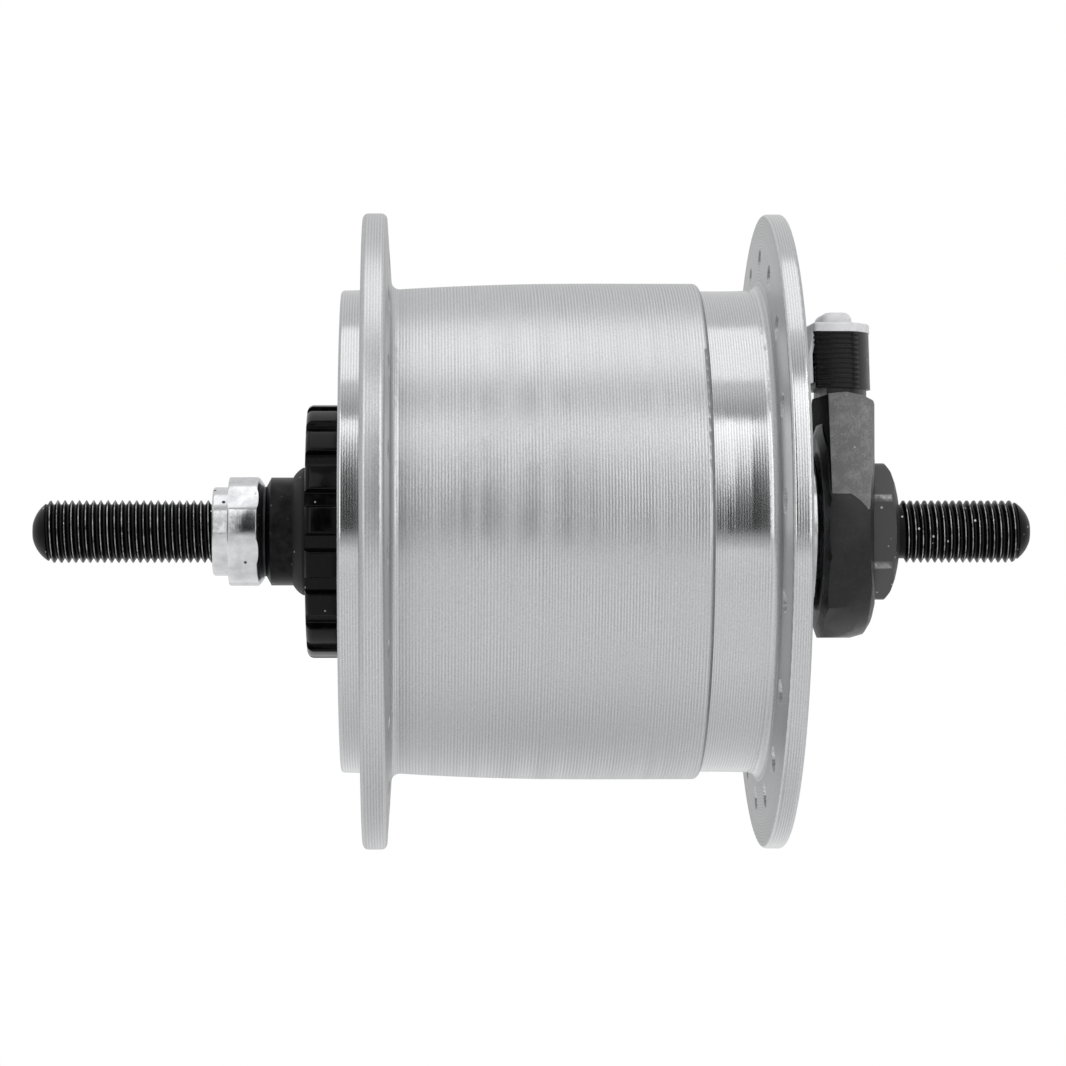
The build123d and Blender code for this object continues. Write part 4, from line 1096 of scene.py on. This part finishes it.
# %% Leave the flat faces satin
for name in ("right_flange_cap", "left_end_cover"):
    mesh = nodes[name].data
    mesh.materials.append(barrel_aluminium)
    flat = [face for face in mesh.polygons if abs(face.normal.y) > 0.7]
    for face in flat:
        face.material_index = 1
    print(name, "has", len(flat), "flat faces")

# %% [markdown]
# ## The studio
#
# Smooth metal shows the room it stands in, so the room matters as much as the lamps. The hub
# hangs over a white floor in a pale room, whose end behind the camera is dark. Two tall soft
# lamps stand left and right of the camera with a gap between them. The satin barrel is too
# rough to show the gap, and both lamps blend to one bright band. The smoother locknut, the end
# cover and the flare beside the right flange do show it, as a dark patch level with the axle.
# On the locknut that patch is also painted into the zinc's colour.

# %% Tell the kinds of ray apart
def ray_kinds(tree):
    """Whether a ray comes from the camera, and whether it left something shiny or clear."""
    path = add_node(tree, "ShaderNodeLightPath")
    mirrored = add_node(
        tree, "ShaderNodeMath", {"operation": "MAXIMUM"}, {},
        {0: path.outputs["Is Glossy Ray"], 1: path.outputs["Is Transmission Ray"]},
    ).outputs["Value"]
    return path.outputs["Is Camera Ray"], mirrored


print("the room and the floor can be plain white to the camera alone")

# %% Light the room
world = bpy.data.worlds.new("studio_room")
world.use_nodes = True
bpy.context.scene.world = world
tree = world.node_tree
tree.nodes.clear()
camera_way = Vector((-1, 0.05, 0.2)).normalized()
wall_angle, dark_angle = radians(58), radians(28)
direction = add_node(tree, "ShaderNodeTexCoord").outputs["Generated"]
compass = add_node(tree, "ShaderNodeSeparateXYZ", {}, {}, {0: direction})
toward_camera = add_node(
    tree, "ShaderNodeVectorMath", {"operation": "DOT_PRODUCT"}, {1: camera_way}, {0: direction}
).outputs["Value"]
dark_end = add_node(
    tree, "ShaderNodeMapRange", {}, {"From Min": cos(wall_angle), "From Max": cos(dark_angle)},
    {"Value": toward_camera},
).outputs["Result"]
height = add_node(
    tree, "ShaderNodeMapRange", {}, {"From Min": -0.9, "From Max": 0.7},
    {"Value": compass.outputs["Z"]},
).outputs["Result"]
walls = add_node(
    tree, "ShaderNodeMix", {"data_type": "RGBA"}, {6: linear("B4B4B4"), 7: linear("EEEEEE")},
    {0: height},
).outputs[2]
room = add_node(
    tree, "ShaderNodeMix", {"data_type": "RGBA"}, {7: linear("383838")}, {0: dark_end, 6: walls}
).outputs[2]
lighting = add_node(tree, "ShaderNodeBackground", {}, {"Strength": 0.8}, {"Color": room})
seen_room = add_node(tree, "ShaderNodeBackground", {}, {"Strength": 1.0}, {"Color": room})
backdrop = add_node(tree, "ShaderNodeBackground", {}, {"Color": (1, 1, 1, 1), "Strength": 1.0})
seen, mirrored = ray_kinds(tree)
shiny = add_node(
    tree, "ShaderNodeMixShader", {}, {},
    {0: mirrored, 1: lighting.outputs[0], 2: seen_room.outputs[0]},
)
choice = add_node(
    tree, "ShaderNodeMixShader", {}, {},
    {0: seen, 1: shiny.outputs[0], 2: backdrop.outputs[0]},
)
add_node(tree, "ShaderNodeOutputWorld", {}, {}, {"Surface": choice.outputs[0]})
print("the room's light is set")


# %% Hang the lamps
def soft_lamp(name, lamp_place_mm, size_mm, power):
    """A rectangular lamp that faces the hub, with its power in watts."""
    choose_nothing()
    lamp_place = Vector(lamp_place_mm) * MM
    bpy.ops.object.light_add(type="AREA", location=lamp_place)
    lamp = bpy.context.active_object
    lamp.name = name
    lamp.data.shape = "RECTANGLE"
    lamp.data.size, lamp.data.size_y = size_mm[0] * MM, size_mm[1] * MM
    lamp.data.energy = power
    lamp.rotation_mode = "QUATERNION"
    lamp.rotation_quaternion = (-lamp_place).to_track_quat("-Z", "Y")
    lamp.visible_camera = False
    return lamp


soft_lamp("right_lamp", (-721, -367, 394), (620, 957), 3.0)
soft_lamp("left_lamp", (-724, 361, 394), (482, 957), 2.4)
soft_lamp("top_lamp", (40, 0, 900), (900, 600), 1.1)
print("three lamps stand round the hub")

# %% [markdown]
# ## The floor
#
# White paper. The camera sees only the far part of it, which is plain white like the backdrop.
# Near the hub the paper keeps its own shade, so that the hub's shadow shows in a view from
# above. Metal mirrors a painted pool of light round the hub: a glow that only mirrored rays see,
# with painted shadow under the hub, brightest from 80 to 180 mm away, and gone beyond 420 mm.

# %% Lay the floor
choose_nothing()
floor_z = -110 * MM
bpy.ops.mesh.primitive_plane_add(size=12, location=(0, 0, floor_z))
floor = bpy.context.active_object
floor.name = "white_floor"
floor_finish, tree, shader = new_finish("white_paper", Roughness=0.9)
place = place_mm(tree)
fibre = add_node(
    tree, "ShaderNodeTexNoise", {}, {"Scale": 1 / 3, "Detail": 3.0}, {"Vector": place}
).outputs["Fac"]
paper_tone = add_node(
    tree, "ShaderNodeMix", {"data_type": "RGBA"}, {6: linear("EDEDED"), 7: linear("F2F2F2")},
    {0: fibre},
).outputs[2]
tree.links.new(paper_tone, shader.inputs["Base Color"])
from_middle = add_node(
    tree, "ShaderNodeVectorMath", {"operation": "MULTIPLY"}, {1: (1, 1, 0)}, {0: place}
).outputs["Vector"]
distance = add_node(
    tree, "ShaderNodeVectorMath", {"operation": "LENGTH"}, {}, {0: from_middle}
).outputs["Value"]
far = add_node(
    tree, "ShaderNodeMapRange", {},
    {"From Min": 130, "From Max": 225, "To Min": 0.75, "To Max": 1.0}, {"Value": distance},
).outputs["Result"]
# A painted pool of light for mirrored rays: dim under the hub as painted shadow, brightest from 80
# to 180 mm, fading beyond.
pool_start = add_node(
    tree, "ShaderNodeMapRange", {},
    {"From Min": 10, "From Max": 80, "To Min": 0.3, "To Max": 0.9}, {"Value": distance},
).outputs["Result"]
pool_end = add_node(
    tree, "ShaderNodeMapRange", {},
    {"From Min": 180, "From Max": 420, "To Min": 1.0, "To Max": 0.15}, {"Value": distance},
).outputs["Result"]
painted_pool = add_node(
    tree, "ShaderNodeMath", {"operation": "MULTIPLY"}, {}, {0: pool_start, 1: pool_end}
).outputs["Value"]
seen, mirrored = ray_kinds(tree)
mirrored_share = add_node(
    tree, "ShaderNodeMath", {"operation": "MULTIPLY"}, {}, {0: mirrored, 1: painted_pool}
).outputs["Value"]
share = add_node(
    tree, "ShaderNodeMath", {"operation": "MULTIPLY_ADD"}, {},
    {0: seen, 1: far, 2: mirrored_share},
).outputs["Value"]
glow = add_node(tree, "ShaderNodeEmission", {}, {"Color": (1, 1, 1, 1), "Strength": 1.0})
paper = add_node(
    tree, "ShaderNodeMixShader", {}, {}, {0: share, 1: shader.outputs[0], 2: glow.outputs[0]}
)
tree.links.new(paper.outputs[0], tree.nodes["Material Output"].inputs["Surface"])
floor.data.materials.append(floor_finish)
print("the floor lies", round(-floor_z / MM), "mm below the axle")

# %% Set the view
bpy.context.scene.view_settings.view_transform = "Standard"
